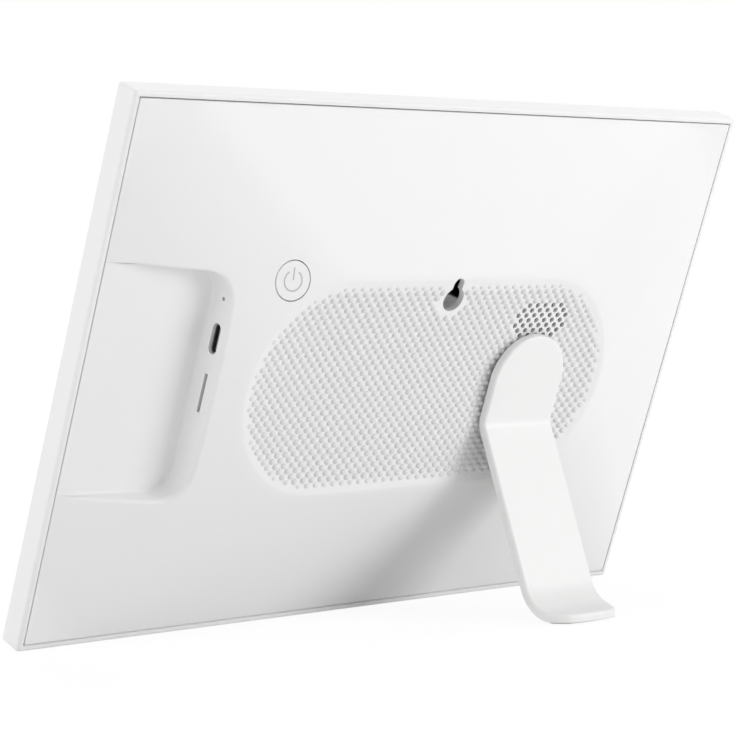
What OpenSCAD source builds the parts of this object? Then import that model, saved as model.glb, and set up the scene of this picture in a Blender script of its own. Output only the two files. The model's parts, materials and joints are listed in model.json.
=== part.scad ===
// A 10-inch digital photo frame on a swivelling stand.
// The pieces are drawn in the frame's own axes: x to the right as seen from behind, y up along the frame
// and z out of its back, with z = 0 at the rear rim. placed() leans them back and stands them on the floor.

/* [Screen] */
// Width of the lit area
screen_w = 217; // [180:1:260]
// Height of the lit area
screen_h = 135.6; // [120:0.1:150]
// Border from the lit area to the left and right edges
side_border = 16.5; // [15:0.5:22]
// Border from the lit area to the top and bottom edges
top_border = 16.65; // [15:0.05:22]

/* [Front frame] */
// Depth of the side walls
frame_d = 8.3; // [8:0.1:12]
// Thickness of the side walls
wall = 1.8; // [1.6:0.1:2.4]
// Corner radius seen from the front
corner_r = 1.2; // [1.2:0.1:3]
// Rounding of the outer rear edge
rear_edge_r = 1; // [0.5:0.1:1.2]
// Rounding of the outer front edge
front_edge_r = 0.8; // [0.4:0.1:1.2]
// Width of the white rim around the glass
rim_w = 6; // [5:0.5:7]
// Width of the ledge that the glass is taped to
ledge_w = 3.7; // [3:0.1:4.5]
// Thickness of the ledge
ledge_t = 1.4; // [1:0.1:1.8]

/* [Screen stack] */
// Thickness of the cover glass
glass_t = 1.1; // [0.8:0.1:1.3]
// Thickness of the adhesive tape behind the glass
tape_t = 0.2; // [0.1:0.05:0.3]
// Thickness of the liquid crystal panel
panel_t = 1; // [0.8:0.1:1.2]
// Thickness of the light guide with its films
guide_t = 1.9; // [1.5:0.1:2.1]
// Thickness of the tray's sheet steel
tray_t = 0.4; // [0.3:0.1:0.5]
// How far the panel's tray reaches past the lit area
tray_margin = 6.2; // [5:0.1:6.6]

/* [Back cover] */
// Visible groove between the side walls and the cover
groove = 0.45; // [0.3:0.05:0.6]
// Height of the dome above the rim
dome_h = 15; // [14:0.5:18]
// Corner radius of the dome where it meets the rim
shoulder_r = 25; // [18:1:32]
// Radius of the pad's round ends
pad_r = 34.7; // [32:0.1:38]
// Wall thickness of the dome
skin = 2; // [1.6:0.1:2.2]
// Depth of the dish in the pad
dish_depth = 3.1; // [2.8:0.1:3.5]
// Width of the flat edge round the dish
pad_rim = 0.4; // [0.3:0.1:0.8]
// Thickness of the cover's flat rim
rim_t = 1.8; // [1.5:0.1:2]
// Corner radius of the cover's rim
cover_corner_r = 0.5; // [0.3:0.1:1]

/* [Keyhole] */
// Radius of the round entry
key_r = 4; // [3.5:0.1:5]
// Width of the slot
key_slot_w = 4; // [3:0.1:4.6]
// Height of the entry's centre above the middle of the pad
key_y = 27.5; // [25:0.5:28]
// Distance from the entry's centre to the slot's round end
key_slot_len = 5.2; // [4:0.1:5.5]
// Depth of the pocket's floor below the cover
key_pocket_d = 5.5; // [4:0.5:6.5]
// Wall thickness of the pocket
key_wall = 1.2; // [1:0.1:1.4]
// Clearance of the pocket around the head of the hanging screw
key_room_gap = 0.4; // [0.3:0.1:0.7]
// How far the pocket reaches past the middle of the round entry
key_shelf = -0.9; // [-1.5:0.1:3]

/* [Port recess] */
// Length of the recess, from the cover's edge to the port wall
recess_len = 38; // [34:1:40]
// Lower end of the recess
recess_low = -35; // [-38:1:-30]
// Upper end of the recess
recess_high = 35.2; // [34:0.1:40]
// Rise of the recess's floor, from the cover's edge to the port wall
recess_rise = 2.7; // [1:0.1:3]
// Corner radius of the recess seen from behind
recess_r = 9; // [6:0.5:12]
// Thickness of the recess's walls and floor
recess_wall = 1.8; // [1.5:0.1:2.2]
// Height of the sockets' centre line above the rim
port_z = 7.6; // [7.4:0.1:8]
// Place of the reset pinhole up the wall
reset_y = 26.7; // [24:0.1:27]
// Radius of the reset pinhole
reset_hole_r = 0.6; // [0.5:0.05:0.75]
// Place of the power inlet up the wall
usb_y = 14.6; // [12:0.1:15]
// Place of the memory card slot up the wall
card_y = -2.1; // [-5:0.1:-1]

/* [Speaker] */
// Radius of a speaker hole
speaker_hole_r = 0.9; // [0.7:0.05:1.1]
// Spacing of the holes along a row
speaker_pitch = 3.5; // [3.2:0.1:4]
// Height of the middle row above the pivot
speaker_y = 19.4; // [18.6:0.1:20.6]
// Offset of the speaker to the right of the pivot
speaker_offset = 1.3; // [-2:0.1:2]
// Thickness of the cover over the speaker
speaker_skin = 1.1; // [0.9:0.1:1.4]

/* [Power button] */
// Radius of the button
button_r = 5.85; // [5:0.05:6.5]
// Gap around the button
button_gap = 0.3; // [0.3:0.05:0.5]
// Direction of the button from the pad's left end
button_angle = 124; // [115:1:132]
// Share of the slope between the pad and the button's centre
button_drop = 0.11; // [0.09:0.005:0.14]
// Travel of the button
button_travel = 0.35; // [0.2:0.05:0.5]

/* [Stand] */
// Lean of the frame from upright
lean = 20; // [15:1:25]
// Slope of the stand's leg from upright
leg_lean = 20.5; // [16:0.5:24]
// Width of the strap
strap_w = 30.4; // [28:0.2:32]
// Thickness of the strap
strap_t = 2.7; // [2.4:0.1:3]
// Height of the strap's underside above the rim
strap_z = 13.5; // [13.4:0.1:14.5]
// Distance from the pivot to the strap's first bend
bend_y = 12.8; // [11:0.1:15]
// Inner radius of the first bend
bend_r = 4; // [2:0.5:6]
// Outer radius of the bend into the foot
foot_bend_r = 14; // [10:0.5:16]
// Length of the foot's flat
foot_len = 4.8; // [4:0.1:8]
// Corner radius of the foot's end
foot_corner_r = 10; // [6:0.5:12]
// Radius of the foot's bowed end
foot_bow_r = 50; // [40:5:120]
// Thickness of the foot pad
pad_t = 1.2; // [1:0.1:1.4]
// How far the foot pad stands out of the foot
pad_proud = 0.4; // [0.3:0.1:0.5]
// Distance of the foot pad from the foot's edge
pad_inset = 2; // [1.5:0.1:3]
// How far the foot pad reaches into the bend
pad_reach = 2.5; // [1:0.1:3]

/* [Swivel] */
// Radius of the hub's shaft
hub_r = 7; // [6:0.1:7.5]
// Running clearance of the shaft in its bore
hub_fit = 0.05; // [0.02:0.01:0.1]
// Radius of the hub's flange
hub_flange_r = 11; // [10:0.1:12]
// Clearance between the swivel's faces
swivel_gap = 0.3; // [0.25:0.05:0.4]
// Turn of the stand from landscape to portrait
swivel_turn = 90; // [90]

/* [Main board] */
// Thickness of the circuit boards
board_t = 1; // [0.8:0.1:1.2]
// Height of the board's component side above the rim
board_z = 6; // [5.8:0.1:6]
// Lower edge of the main board
board_low = -30; // [-31:1:-26]
// Length of the main board
board_len = 58; // [54:1:62]

/* [Hidden] */
$fn = 64;
dish_sides = 180;
tiny = 0.01;
wire_sides = 8;
bend_steps = 8;

// Overall size
frame_w = screen_w + 2 * side_border;
frame_h = screen_h + 2 * top_border;
// The pivot is as far from the bottom edge as from the right edge, so the stand serves both ways up
pad_half = (frame_w - frame_h) / 2;
pivot_x = pad_half;

// Cover and dome
cover_w = frame_w - 2 * (wall + groove);
cover_h = frame_h - 2 * (wall + groove);
dome_w = cover_w - 0.6;
dome_half_h = (cover_h - 0.6) / 2;
slope = atan(dome_h / (dome_half_h - pad_r));
skin_drop = skin / cos(slope);
dish_floor = dome_h - dish_depth;
dish_edge_r = pad_r - pad_rim;
dish_r = (dish_edge_r * dish_edge_r + dish_depth * dish_depth) / (2 * dish_depth);

key_floor = dome_h - skin_drop - key_pocket_d;

// Screen stack, from the front backwards
glass_w = frame_w - 2 * rim_w;
glass_h = frame_h - 2 * rim_w;
fit = 0.25;
ledge_front = -frame_d + glass_t + tape_t;
ledge_back = ledge_front + ledge_t;
open_w = glass_w + 2 * fit - 2 * ledge_w;
open_h = glass_h + 2 * fit - 2 * ledge_w;
panel_front = -frame_d + glass_t + 0.15;
tray_w = screen_w + 2 * tray_margin;
tray_h = screen_h + 2 * tray_margin;
guide_front = panel_front + panel_t + 0.1;
tray_back = guide_front + guide_t + 0.05 + tray_t;
tray_front = panel_front + panel_t + 0.05;
tab_x = tray_w / 2 + ledge_w / 2 + 1.4;
tab_y = screen_h / 2 - 13;

// Port recess
recess_left = -frame_w / 2;
recess_x = -cover_w / 2 + recess_len;
wall_in_x = recess_x + recess_wall;
usb_w = 8.94;
usb_h = 3.16;
usb_len = 7.4;
usb_set_back = 0.9;
port_fit = 0.18;
card_slot_w = 12;
card_slot_h = 1.3;

// Main board
board_x = wall_in_x + 0.7;
board_step_y = 22;
board_high = 31;
board_leg = 8;
board_posts = [
  [board_x + 11, board_low + 5], [board_x + board_len - 5, board_low + 5],
  [board_x + board_len - 5, board_step_y - 5], [board_x + 14, board_step_y - 8]
];
chip_x = board_x + 32;
chip_w = 14;
coil_x = board_x + 22;
shield_x = board_x + 20;
shield_w = 8;
connector_x = board_x + 22;
connector_w = 24;
board_back = board_z - board_t;
antenna_x = screen_w / 2 - 48.5;
antenna_y = screen_h / 2 - 33.8;
antenna_z = 2.2;

// Power button: a point of the dome's slope and the slope's normal there
shoulder_x = dome_w / 2 - shoulder_r;
shoulder_y = dome_half_h - shoulder_r;
button_out = [cos(button_angle), sin(button_angle)];
button_pos = [
  -pad_half + (pad_half - shoulder_x) * button_drop
    + (pad_r + (shoulder_r - pad_r) * button_drop) * button_out[0],
  shoulder_y * button_drop + (pad_r + (shoulder_r - pad_r) * button_drop) * button_out[1],
  dome_h * (1 - button_drop)
];
button_run = (shoulder_x - pad_half) * -button_out[0] + shoulder_y * button_out[1] + shoulder_r - pad_r;
button_tilt = atan(dome_h / button_run);
cap_t = 2.6;
flange_gap = 0.35;
flange_t = 0.8;
button_flange_r = button_r + 1.3;
stem_r = 1.7;
plunger_top = -skin - flange_gap - flange_t - 1.3;
switch_top = plunger_top - 0.9;
switch_h = 3.4;
switch_w = 6;
switch_board_top = switch_top - switch_h;
switch_post_r = 1.9;
switch_post_x = button_flange_r + switch_post_r + 0.35;
switch_board_w = 8;
plunger_in = 1.4;

// Stand
bend_angle = lean + leg_lean;
edge_drop = rear_edge_r * (cos(lean) + sin(lean) - 1);
function up(p) = (p[0] + frame_h / 2) * cos(lean) - p[1] * sin(lean) - edge_drop;
function back(p) = (p[0] + frame_h / 2) * sin(lean) + p[1] * cos(lean);
leg_dir = [-cos(bend_angle), sin(bend_angle)];
leg_normal = [sin(bend_angle), cos(bend_angle)];
level_dir = [sin(lean), cos(lean)];
up_dir = [cos(lean), -sin(lean)];
bend_centre = [-bend_y, strap_z + strap_t + bend_r];
leg_top = bend_centre - (bend_r + strap_t) * leg_normal;
leg_len = (up(leg_top) + foot_bend_r * sin(leg_lean) - foot_bend_r - pad_proud) / cos(leg_lean);
leg_end = leg_top + leg_len * leg_dir;
foot_centre = leg_end + foot_bend_r * leg_normal;
foot_start = foot_centre - foot_bend_r * up_dir;
foot_end = foot_start + foot_len * level_dir;
front_reach = (frame_d - front_edge_r) * cos(lean) + front_edge_r - front_edge_r * sin(lean);
middle = (back(foot_end) - front_reach) / 2;

// Swivel
hub_seat_r = hub_flange_r + 1;
boss_r = 12;
boss_t = 4;
boss_low = dish_floor - boss_t;
washer_t = 0.6;
shaft_low = boss_low - swivel_gap - washer_t;
swivel_plate_t = 1.5;
swivel_plate_r = 10.6;
hub_screw_ring = 4;
hub_screw_r = 1.15;
lug_reach = 14.2;
lug_w = 3;
stop_r = 1.5;
stop_ring = 13;
stop_gap = 0.3;
stop_angle = asin((lug_w / 2 + stop_r + stop_gap) / stop_ring);

// Speaker
speaker_rows = [5, 6, 7, 6, 7, 6, 5];
speaker_x = pivot_x + speaker_offset;
speaker_w = 30;
speaker_depth = 2 * (speaker_y - boss_r - 0.4);
speaker_top = dish_floor - skin - 0.45;
speaker_h = 4.6;
speaker_ear = 4.2;

// ---- helpers ----

// Stands the pieces on the floor, with the screen towards -Y
module placed() {
  translate([0, -middle, -edge_drop])
    rotate([90 + lean, 0, 180])
      translate([0, frame_h / 2, 0])
        children();
}

// Level axes at the lower rear edge for the stand's foot: x across, y backwards, z up from the floor
module level() {
  translate([0, -frame_h / 2, 0])
    rotate([-90 - lean, 0, 0])
      rotate([0, 0, 180])
        translate([0, 0, edge_drop])
          children();
}

module rounded(w, h, r) {
  square([w - 2 * r, h], center = true);
  if (h > 2 * r) square([w, h - 2 * r], center = true);
  for (x = [-1, 1], y = [-1, 1]) translate([x * (w / 2 - r), y * (h / 2 - r)]) circle(r);
}

module slab(w, h, r, z0, z1) {
  translate([0, 0, z0]) linear_extrude(z1 - z0) rounded(w, h, r);
}

module block(x0, x1, y0, y1, z0, z1) {
  translate([x0, y0, z0]) cube([x1 - x0, y1 - y0, z1 - z0]);
}

// Draws a side profile (y, z) along x
module along_x(x0, x1) {
  translate([x0, 0, 0]) rotate([90, 0, 90]) linear_extrude(x1 - x0) children();
}

// Section of a side wall: x inwards from the outer face, y along the depth, with both outer edges rounded
module wall_profile() {
  difference() {
    translate([0, -frame_d]) square([wall, frame_d]);
    translate([-1, -rear_edge_r]) square(1 + rear_edge_r);
    translate([-1, -frame_d - 1]) square(1 + front_edge_r);
  }
  translate([rear_edge_r, -rear_edge_r]) circle(rear_edge_r);
  translate([front_edge_r, -frame_d + front_edge_r]) circle(front_edge_r);
}

// The four side walls and their corners
module side_walls() {
  for (turn = [0 : 3]) let (w = turn % 2 == 0 ? frame_w : frame_h, h = turn % 2 == 0 ? frame_h : frame_w)
    rotate([0, 0, 90 * turn]) {
      translate([-w / 2 + corner_r, -h / 2, 0]) rotate([90, 0, 90])
        linear_extrude(w - 2 * corner_r) wall_profile();
      translate([-w / 2 + corner_r, -h / 2 + corner_r, 0]) rotate([0, 0, 180])
        rotate_extrude(angle = 90) intersection() {
          translate([corner_r, 0]) mirror([1, 0]) wall_profile();
          translate([0, -frame_d - 1]) square([corner_r, frame_d + 2]);
        }
    }
}

// Outline of the dome at a share t of its height
module dome_section(t) {
  r = shoulder_r + (pad_r - shoulder_r) * t;
  rounded(2 * (dome_w / 2 + (pad_half + pad_r - dome_w / 2) * t),
          2 * (dome_half_h + (pad_r - dome_half_h) * t), r);
}

module dome() {
  hull() {
    translate([0, 0, -tiny]) linear_extrude(tiny) dome_section(0);
    translate([0, 0, dome_h - tiny]) linear_extrude(tiny) dome_section(1);
  }
}

// The hollow inside the dome
module cavity() {
  difference() {
    hull() {
      translate([0, 0, -rim_t - tiny]) linear_extrude(rim_t) dome_section(skin_drop / dome_h);
      translate([0, 0, dome_h - skin_drop - tiny]) linear_extrude(tiny) dome_section(1);
    }
    dish_ball(dish_r + skin);
  }
}

// The ball, drawn out sideways, that hollows the pad
module dish_ball(r) {
  translate([0, 0, dish_floor + dish_r]) {
    rotate([0, 90, 0]) cylinder(h = 2 * pad_half, r = r, center = true, $fn = dish_sides);
    for (s = [-1, 1]) translate([s * pad_half, 0, 0]) sphere(r, $fn = dish_sides);
  }
}

module recess_plan(grow) {
  w = recess_x - recess_left + 2 * recess_r;
  translate([recess_x + grow - w / 2, (recess_low + recess_high) / 2])
    rounded(w, recess_high - recess_low + 2 * grow, recess_r + grow);
}

module keyhole_plan(grow) {
  translate([0, key_y]) circle(key_r + grow);
  translate([-key_slot_w / 2 - grow, key_y]) square([key_slot_w + 2 * grow, key_slot_len]);
  translate([0, key_y + key_slot_len]) circle(key_slot_w / 2 + grow);
}

// Puts the origin on the slope at the button, with z along its outward normal
module at_button() {
  translate(button_pos) rotate([0, 0, button_angle]) rotate([0, button_tilt, 0]) children();
}

module at_pivot() {
  translate([pivot_x, 0, 0]) children();
}

module screw(head_r, head_h, shank_r, length) {
  difference() {
    translate([0, 0, -head_h]) cylinder(h = head_h, r = head_r);
    for (a = [0, 90]) rotate([0, 0, a])
      translate([-head_r * 0.6, -head_r * 0.13, -head_h - 1])
        cube([head_r * 1.2, head_r * 0.26, 1 + head_h * 0.5]);
  }
  translate([0, 0, -tiny]) cylinder(h = length + tiny, r = shank_r);
}

function unit(v) = v / norm(v);
function step(p, i) = unit(p[i + 1] - p[i]);
// The direction of a path at its point i
function along(p, i) = i == 0 ? step(p, 0)
  : i == len(p) - 1 ? step(p, i - 1)
  : unit(step(p, i - 1) + step(p, i));
function ring(centre, d, r) = [
  for (k = [0 : wire_sides - 1])
    let (a = unit(cross(d, [0, 0, 1])), b = cross(a, d), t = 360 * k / wire_sides)
    centre + r * (cos(t) * a + sin(t) * b)
];

// A wire through a list of points, with wire_sides sides
module wire(points, r) {
  n = wire_sides;
  last = len(points) - 1;
  polyhedron(
    points = [for (i = [0 : last]) each ring(points[i], along(points, i), r)],
    faces = concat(
      [[for (k = [0 : n - 1]) n - 1 - k], [for (k = [0 : n - 1]) last * n + k]],
      [for (i = [0 : last - 1], k = [0 : n - 1]) [i * n + k, i * n + (k + 1) % n, (i + 1) * n + (k + 1) % n]],
      [for (i = [0 : last - 1], k = [0 : n - 1]) [i * n + k, (i + 1) * n + (k + 1) % n, (i + 1) * n + k]]
    )
  );
}

// A point set off by h to the left of a flat path's point i, along the mitre there
function beside(p, i, h) = let (
  d = along(p, i),
  s = step(p, min(i, len(p) - 2)),
  n = [-d[1], d[0]]
) p[i] + n * h / (n * [-s[1], s[0]]);

// A flat ribbon: a side profile (y, z) as a list of points, given a thickness
module ribbon(points, x0, x1, t) {
  last = len(points) - 1;
  along_x(x0, x1) polygon(concat(
    [for (i = [0 : last]) beside(points, i, t / 2)],
    [for (i = [0 : last]) beside(points, last - i, -t / 2)]
  ));
}

// ---- screen side ----

module front_frame() {
  color("white") placed() difference() {
    union() {
      side_walls();
      slab(frame_w - 2 * front_edge_r, frame_h - 2 * front_edge_r, corner_r, -frame_d, ledge_back);
      for (s = [-1, 1], t = [-1, 1]) translate([s * tab_x, t * tab_y, ledge_back - 1])
        cylinder(h = tray_back - tray_t - ledge_back + 1, r = 2.3);
    }
    slab(open_w, open_h, 2, -frame_d - 1, 1);
    slab(glass_w + 2 * fit, glass_h + 2 * fit, 3 + fit, -frame_d - 1, ledge_front);
    for (s = [-1, 1], t = [-1, 1]) translate([s * tab_x, t * tab_y, ledge_front + 0.4])
      cylinder(h = frame_d, r = 0.8);
    for (h = hook_places()) translate([h[0], h[1]]) rotate([0, 0, h[2]])
      block(-hook_w / 2 - 0.4, hook_w / 2 + 0.4, -2, wall_gap + hook_bite + 0.2,
            hook_low - 0.2, hook_low + 1.6);
    block(-7, 7, -open_h / 2 - 1.4, 0, ledge_front - 1, 1);
  }
}

hook_w = 8;
hook_low = -4.6;
hook_bite = 0.6;
wall_gap = 0.35;
// Places of the cover's snap hooks: x, y and the turn that points them outwards
function hook_places() = concat(
  [for (s = [-1, 0, 1]) [s * frame_w * 0.32, frame_h / 2 - wall - wall_gap, 0]],
  [for (s = [-1, 1]) [s * frame_w * 0.32, -(frame_h / 2 - wall - wall_gap), 180]],
  [for (s = [-1, 1]) [frame_w / 2 - wall - wall_gap, s * frame_h * 0.2, -90]],
  [for (s = [-1, 1]) [-(frame_w / 2 - wall - wall_gap), s * frame_h * 0.38, 90]]
);

module glass_tape() {
  color("black") placed() difference() {
    slab(glass_w - 0.4, glass_h - 0.4, 2.8, ledge_front - tape_t, ledge_front);
    slab(open_w + 0.6, open_h + 0.6, 2, ledge_front - 1, ledge_front + 1);
    block(-7, 7, -open_h / 2 - 1.4, 0, ledge_front - 1, 1);
  }
}

module cover_glass() {
  color("black") placed() slab(glass_w, glass_h, 3, -frame_d, -frame_d + glass_t);
}

module lcd_panel() {
  color("black") placed()
    slab(tray_w - 1, tray_h - 1.4, 0.5, panel_front, panel_front + panel_t);
}

module light_guide() {
  color("white") placed()
    block(-tray_w / 2 + 2.6, tray_w / 2 - 2.6, -tray_h / 2 + 3.6, tray_h / 2 - 1,
          guide_front, guide_front + guide_t);
}

module led_strip() {
  color("lightyellow") placed() {
    y0 = -tray_h / 2 + tray_t + 0.1;
    block(-screen_w / 2, screen_w / 2, y0, y0 + 0.4, guide_front, guide_front + guide_t - 0.1);
    for (i = [-13 : 13]) translate([i * screen_w / 28, 0, 0])
      block(-1.5, 1.5, y0 + 0.4, y0 + 1.3, guide_front + 0.3, guide_front + 1.4);
  }
}

module backlight_tray() {
  color("silver") placed() difference() {
    union() {
      block(-tray_w / 2, tray_w / 2, -tray_h / 2, tray_h / 2, tray_front, tray_back);
      for (s = [-1, 1], t = [-1, 1]) translate([s * (tab_x - 2), t * tab_y, tray_back - tray_t])
        translate([-4.6, -3, 0]) cube([9.2, 6, tray_t]);
    }
    block(-tray_w / 2 + tray_t, tray_w / 2 - tray_t, -tray_h / 2 + tray_t, tray_h / 2 - tray_t,
          tray_front - 1, tray_back - tray_t);
    for (s = [-1, 1], t = [-1, 1]) translate([s * tab_x, t * tab_y, tray_back - 1]) cylinder(h = 2, r = 1.1);
  }
}

module panel_screws() {
  color("dimgray") placed() for (s = [-1, 1], t = [-1, 1])
    translate([s * tab_x, t * tab_y, tray_back]) mirror([0, 0, 1]) screw(1.9, 0.9, 0.8, 2.2);
}

// ---- back cover ----

module board_post_set(r, z0, z1) {
  for (p = board_posts) translate([p[0], p[1], z0]) cylinder(h = z1 - z0, r = r);
}

module switch_post_set(r, z0, z1) {
  at_button() for (s = [-1, 1]) translate([s * switch_post_x, 0, z0]) cylinder(h = z1 - z0, r = r);
}

module speaker_holes() {
  rows = len(speaker_rows);
  for (j = [0 : rows - 1], i = [0 : speaker_rows[j] - 1])
    translate([speaker_x + (i - (speaker_rows[j] - 1) / 2) * speaker_pitch,
               speaker_y + (j - (rows - 1) / 2) * speaker_pitch / 2, dish_floor - skin - 1])
      cylinder(h = skin + 4, r = speaker_hole_r);
}

module speaker_post_set(r, z0, z1) {
  for (s = [-1, 1]) translate([speaker_x + s * (speaker_w / 2 + speaker_ear / 2), speaker_y, z0])
    cylinder(h = z1 - z0, r = r);
}

// Room behind the holes, where the cover is only speaker_skin thick
module speaker_room(inset, below) {
  translate([speaker_x, speaker_y]) difference() {
    slab(speaker_w - 3 - 2 * inset, speaker_depth - 1 - 2 * inset, 1.5, speaker_top, dome_h);
    translate([-speaker_x, -speaker_y, 0]) dish_ball(dish_r + speaker_skin + below);
  }
}

module swivel_stops() {
  for (a = [180 - stop_angle, 180 + swivel_turn + stop_angle])
    translate([stop_ring * cos(a), stop_ring * sin(a), shaft_low - swivel_plate_t])
      cylinder(h = dome_h - shaft_low, r = stop_r);
}

module back_cover() {
  color("white") placed() difference() {
    union() {
      slab(cover_w, cover_h, cover_corner_r, -rim_t, 0);
      dome();
      for (h = hook_places()) translate([h[0], h[1]]) rotate([0, 0, h[2]]) {
        block(-hook_w / 2, hook_w / 2, -1.4, -0.2, hook_low, -rim_t + tiny);
        block(-hook_w / 2, hook_w / 2, -0.3, wall_gap + hook_bite, hook_low, hook_low + 0.9);
      }
    }
    difference() {
      cavity();
      recess_tub();
      board_post_set(2.6, board_z, dome_h);
      at_pivot() translate([0, 0, boss_low]) cylinder(h = dome_h, r = boss_r);
      at_pivot() swivel_stops();
      speaker_post_set(2, speaker_top - 1.2, dome_h);
      switch_post_set(switch_post_r, switch_board_top, 0);
    }
    difference() {
      linear_extrude(dome_h + 1) recess_plan(0);
      recess_ramp(0);
    }
    dish_ball(dish_r);
    translate([0, 0, dish_floor - skin - 2]) linear_extrude(dome_h) keyhole_plan(0);
    speaker_holes();
    speaker_room(0, 0);
    at_button() translate([0, 0, -skin - 1]) cylinder(h = skin + 3, r = button_r + button_gap);
    switch_post_set(0.75, switch_board_top - 1, switch_board_top + 3.6);
    at_pivot() translate([0, 0, dish_floor]) cylinder(h = dome_h, r = hub_seat_r);
    at_pivot() translate([0, 0, boss_low - 1]) cylinder(h = dome_h, r = hub_r + hub_fit);
    board_post_set(0.8, board_z - 1, board_z + 4);
    speaker_post_set(0.75, speaker_top - 2, speaker_top + 0.6);
    port_cut_x() translate([reset_y, port_z]) circle(reset_hole_r);
    port_cut_x() translate([usb_y, port_z]) rounded(usb_w + 2 * port_fit, usb_h + 2 * port_fit,
                                                   usb_h / 2 + port_fit);
    port_cut_x() translate([card_y - card_slot_w / 2, port_z - card_slot_h / 2])
      square([card_slot_w, card_slot_h]);
  }
}

module port_cut_x() {
  along_x(recess_x - 1, wall_in_x + 1) children();
}

// The recess's own walls and floor
module recess_tub() {
  difference() {
    translate([0, 0, -rim_t]) linear_extrude(dome_h + rim_t + 1) recess_plan(recess_wall);
    recess_ramp(recess_wall);
  }
}

// What lies under the sloping floor of the recess, lowered by a depth
module recess_ramp(depth) {
  edge = -cover_w / 2;
  end = wall_in_x + 1;
  translate([0, recess_high + recess_wall + 1, -depth]) rotate([90, 0, 0])
    linear_extrude(recess_high - recess_low + 2 * recess_wall + 2)
      polygon([[edge, 0], [end, recess_rise * (end - edge) / recess_len], [end, -1], [edge, -1]]);
}

// A cup under the round entry, open towards the slot
module keyhole_pocket() {
  low = key_floor - key_wall;
  half = key_r + key_room_gap + key_wall + 1;
  color("white") placed() difference() {
    translate([0, key_y, low])
      cylinder(h = dome_h - skin_drop - 0.1 - low, r = key_r + key_room_gap + key_wall);
    translate([0, key_y, key_floor]) cylinder(h = dome_h, r = key_r + key_room_gap);
    dish_ball(dish_r + skin + 0.05);
    block(-half, half, key_y + key_shelf, key_y + half, low - 1, dome_h);
  }
}

// ---- speaker ----

module speaker_mesh() {
  color("black") placed() intersection() {
    speaker_room(0.3, 0.05);
    dish_ball(dish_r + speaker_skin + 0.3);
  }
}

module speaker_box() {
  color("dimgray") placed() translate([speaker_x, speaker_y, speaker_top]) difference() {
    union() {
      slab(speaker_w, speaker_depth, 2.5, -speaker_h, -tiny);
      slab(speaker_w + 2 * speaker_ear, 5, 2.4, -2.4, -1.2);
    }
    slab(speaker_w - 3, speaker_depth - 3, 1.5, -2, 1);
    for (s = [-1, 1]) translate([s * (speaker_w + speaker_ear) / 2, 0, -4]) cylinder(h = 4, r = 1);
  }
}

module speaker_cone() {
  color("black") placed() translate([speaker_x, speaker_y, speaker_top]) {
    slab(speaker_w - 3.2, speaker_depth - 3.2, 1.4, -1.9, -1.4);
    slab(speaker_w - 9, speaker_depth - 9, 2.4, -1.5, -0.8);
  }
}

module speaker_screws() {
  color("dimgray") placed() for (s = [-1, 1])
    translate([speaker_x + s * (speaker_w + speaker_ear) / 2, speaker_y, speaker_top - 2.4])
      screw(1.7, 0.9, 0.75, 2.8);
}

module speaker_lead() {
  start_x = speaker_x - speaker_w / 2;
  end_x = board_x + board_len;
  run = start_x - end_x;
  color("red") placed() for (s = [-1, 1]) translate([0, s * 0.7, 0]) wire([
    [start_x - 0.15, speaker_y - 5, speaker_top - 3.4],
    [start_x - run * 0.1, speaker_y - 6, speaker_top - 4.2],
    [start_x - run * 0.4, 8, board_z + 1.6],
    [start_x - run * 0.7, 4, board_z + 0.8],
    [end_x - 4, 2, board_z + 0.52]
  ], 0.5);
}

// ---- boards ----

module main_board() {
  color("darkgreen") placed() difference() {
    union() {
      block(board_x, board_x + board_len, board_low, board_step_y, board_z - board_t, board_z);
      block(board_x, board_x + board_leg, board_low, board_high, board_z - board_t, board_z);
    }
    board_post_set(1.05, board_z - 2, board_z + 1);
  }
}

module board_screws() {
  color("silver") placed() for (p = board_posts)
    translate([p[0], p[1], board_z - board_t]) screw(1.9, 1.3, 0.8, 4);
}

module processor() {
  y0 = board_low + 22;
  color("dimgray") placed() block(chip_x, chip_x + chip_w, y0, y0 + chip_w, board_z, board_z + 1.3);
}

module memory_chips() {
  color("dimgray") placed() for (y = [board_low + 6, board_step_y - 13])
    block(chip_x + 1, chip_x + chip_w - 1, y, y + 9, board_z, board_z + 1);
}

module power_coils() {
  color("gray") placed() for (y = [5, 13]) translate([coil_x, board_low + y, board_z]) {
    slab(5.4, 5.4, 1, 0, 2.6);
    cylinder(h = 2.8, r = 1.9);
  }
}

module wifi_shield() {
  color("silver") placed()
    block(shield_x, shield_x + shield_w, board_step_y - 16, board_step_y - 2, board_z, board_z + 2);
}

module usb_c_shell() {
  x0 = recess_x + usb_set_back;
  color("silver") placed() difference() {
    along_x(x0, x0 + usb_len) translate([usb_y, port_z]) rounded(usb_w, usb_h, usb_h / 2);
    along_x(x0 - 1, x0 + usb_len - 0.6) translate([usb_y, port_z])
      rounded(usb_w - 0.6, usb_h - 0.6, usb_h / 2 - 0.3);
  }
}

module usb_c_tongue() {
  x0 = recess_x + usb_set_back;
  color("gray") placed()
    block(x0 + 0.6, x0 + usb_len - 0.6, usb_y - 3.4, usb_y + 3.4, port_z - 0.35, port_z + 0.35);
}

module microsd_socket() {
  x0 = wall_in_x + 0.1;
  color("silver") placed() difference() {
    block(x0, x0 + 14, card_y - 7, card_y + 7, board_z, board_z + 2.9);
    block(x0 - 1, x0 + 12.6, card_y - card_slot_w / 2 + 0.4, card_y + card_slot_w / 2 - 0.4,
          port_z - card_slot_h / 2 + 0.1, port_z + card_slot_h / 2 - 0.1);
  }
}

module reset_switch() {
  x0 = wall_in_x + 1.6;
  color("dimgray") placed() difference() {
    block(x0, x0 + 3.6, reset_y - 2.3, reset_y + 2.3, board_z, board_z + 3.2);
    along_x(x0 - 1, x0 + 2.9) translate([reset_y, port_z]) circle(0.75);
  }
}

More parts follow.
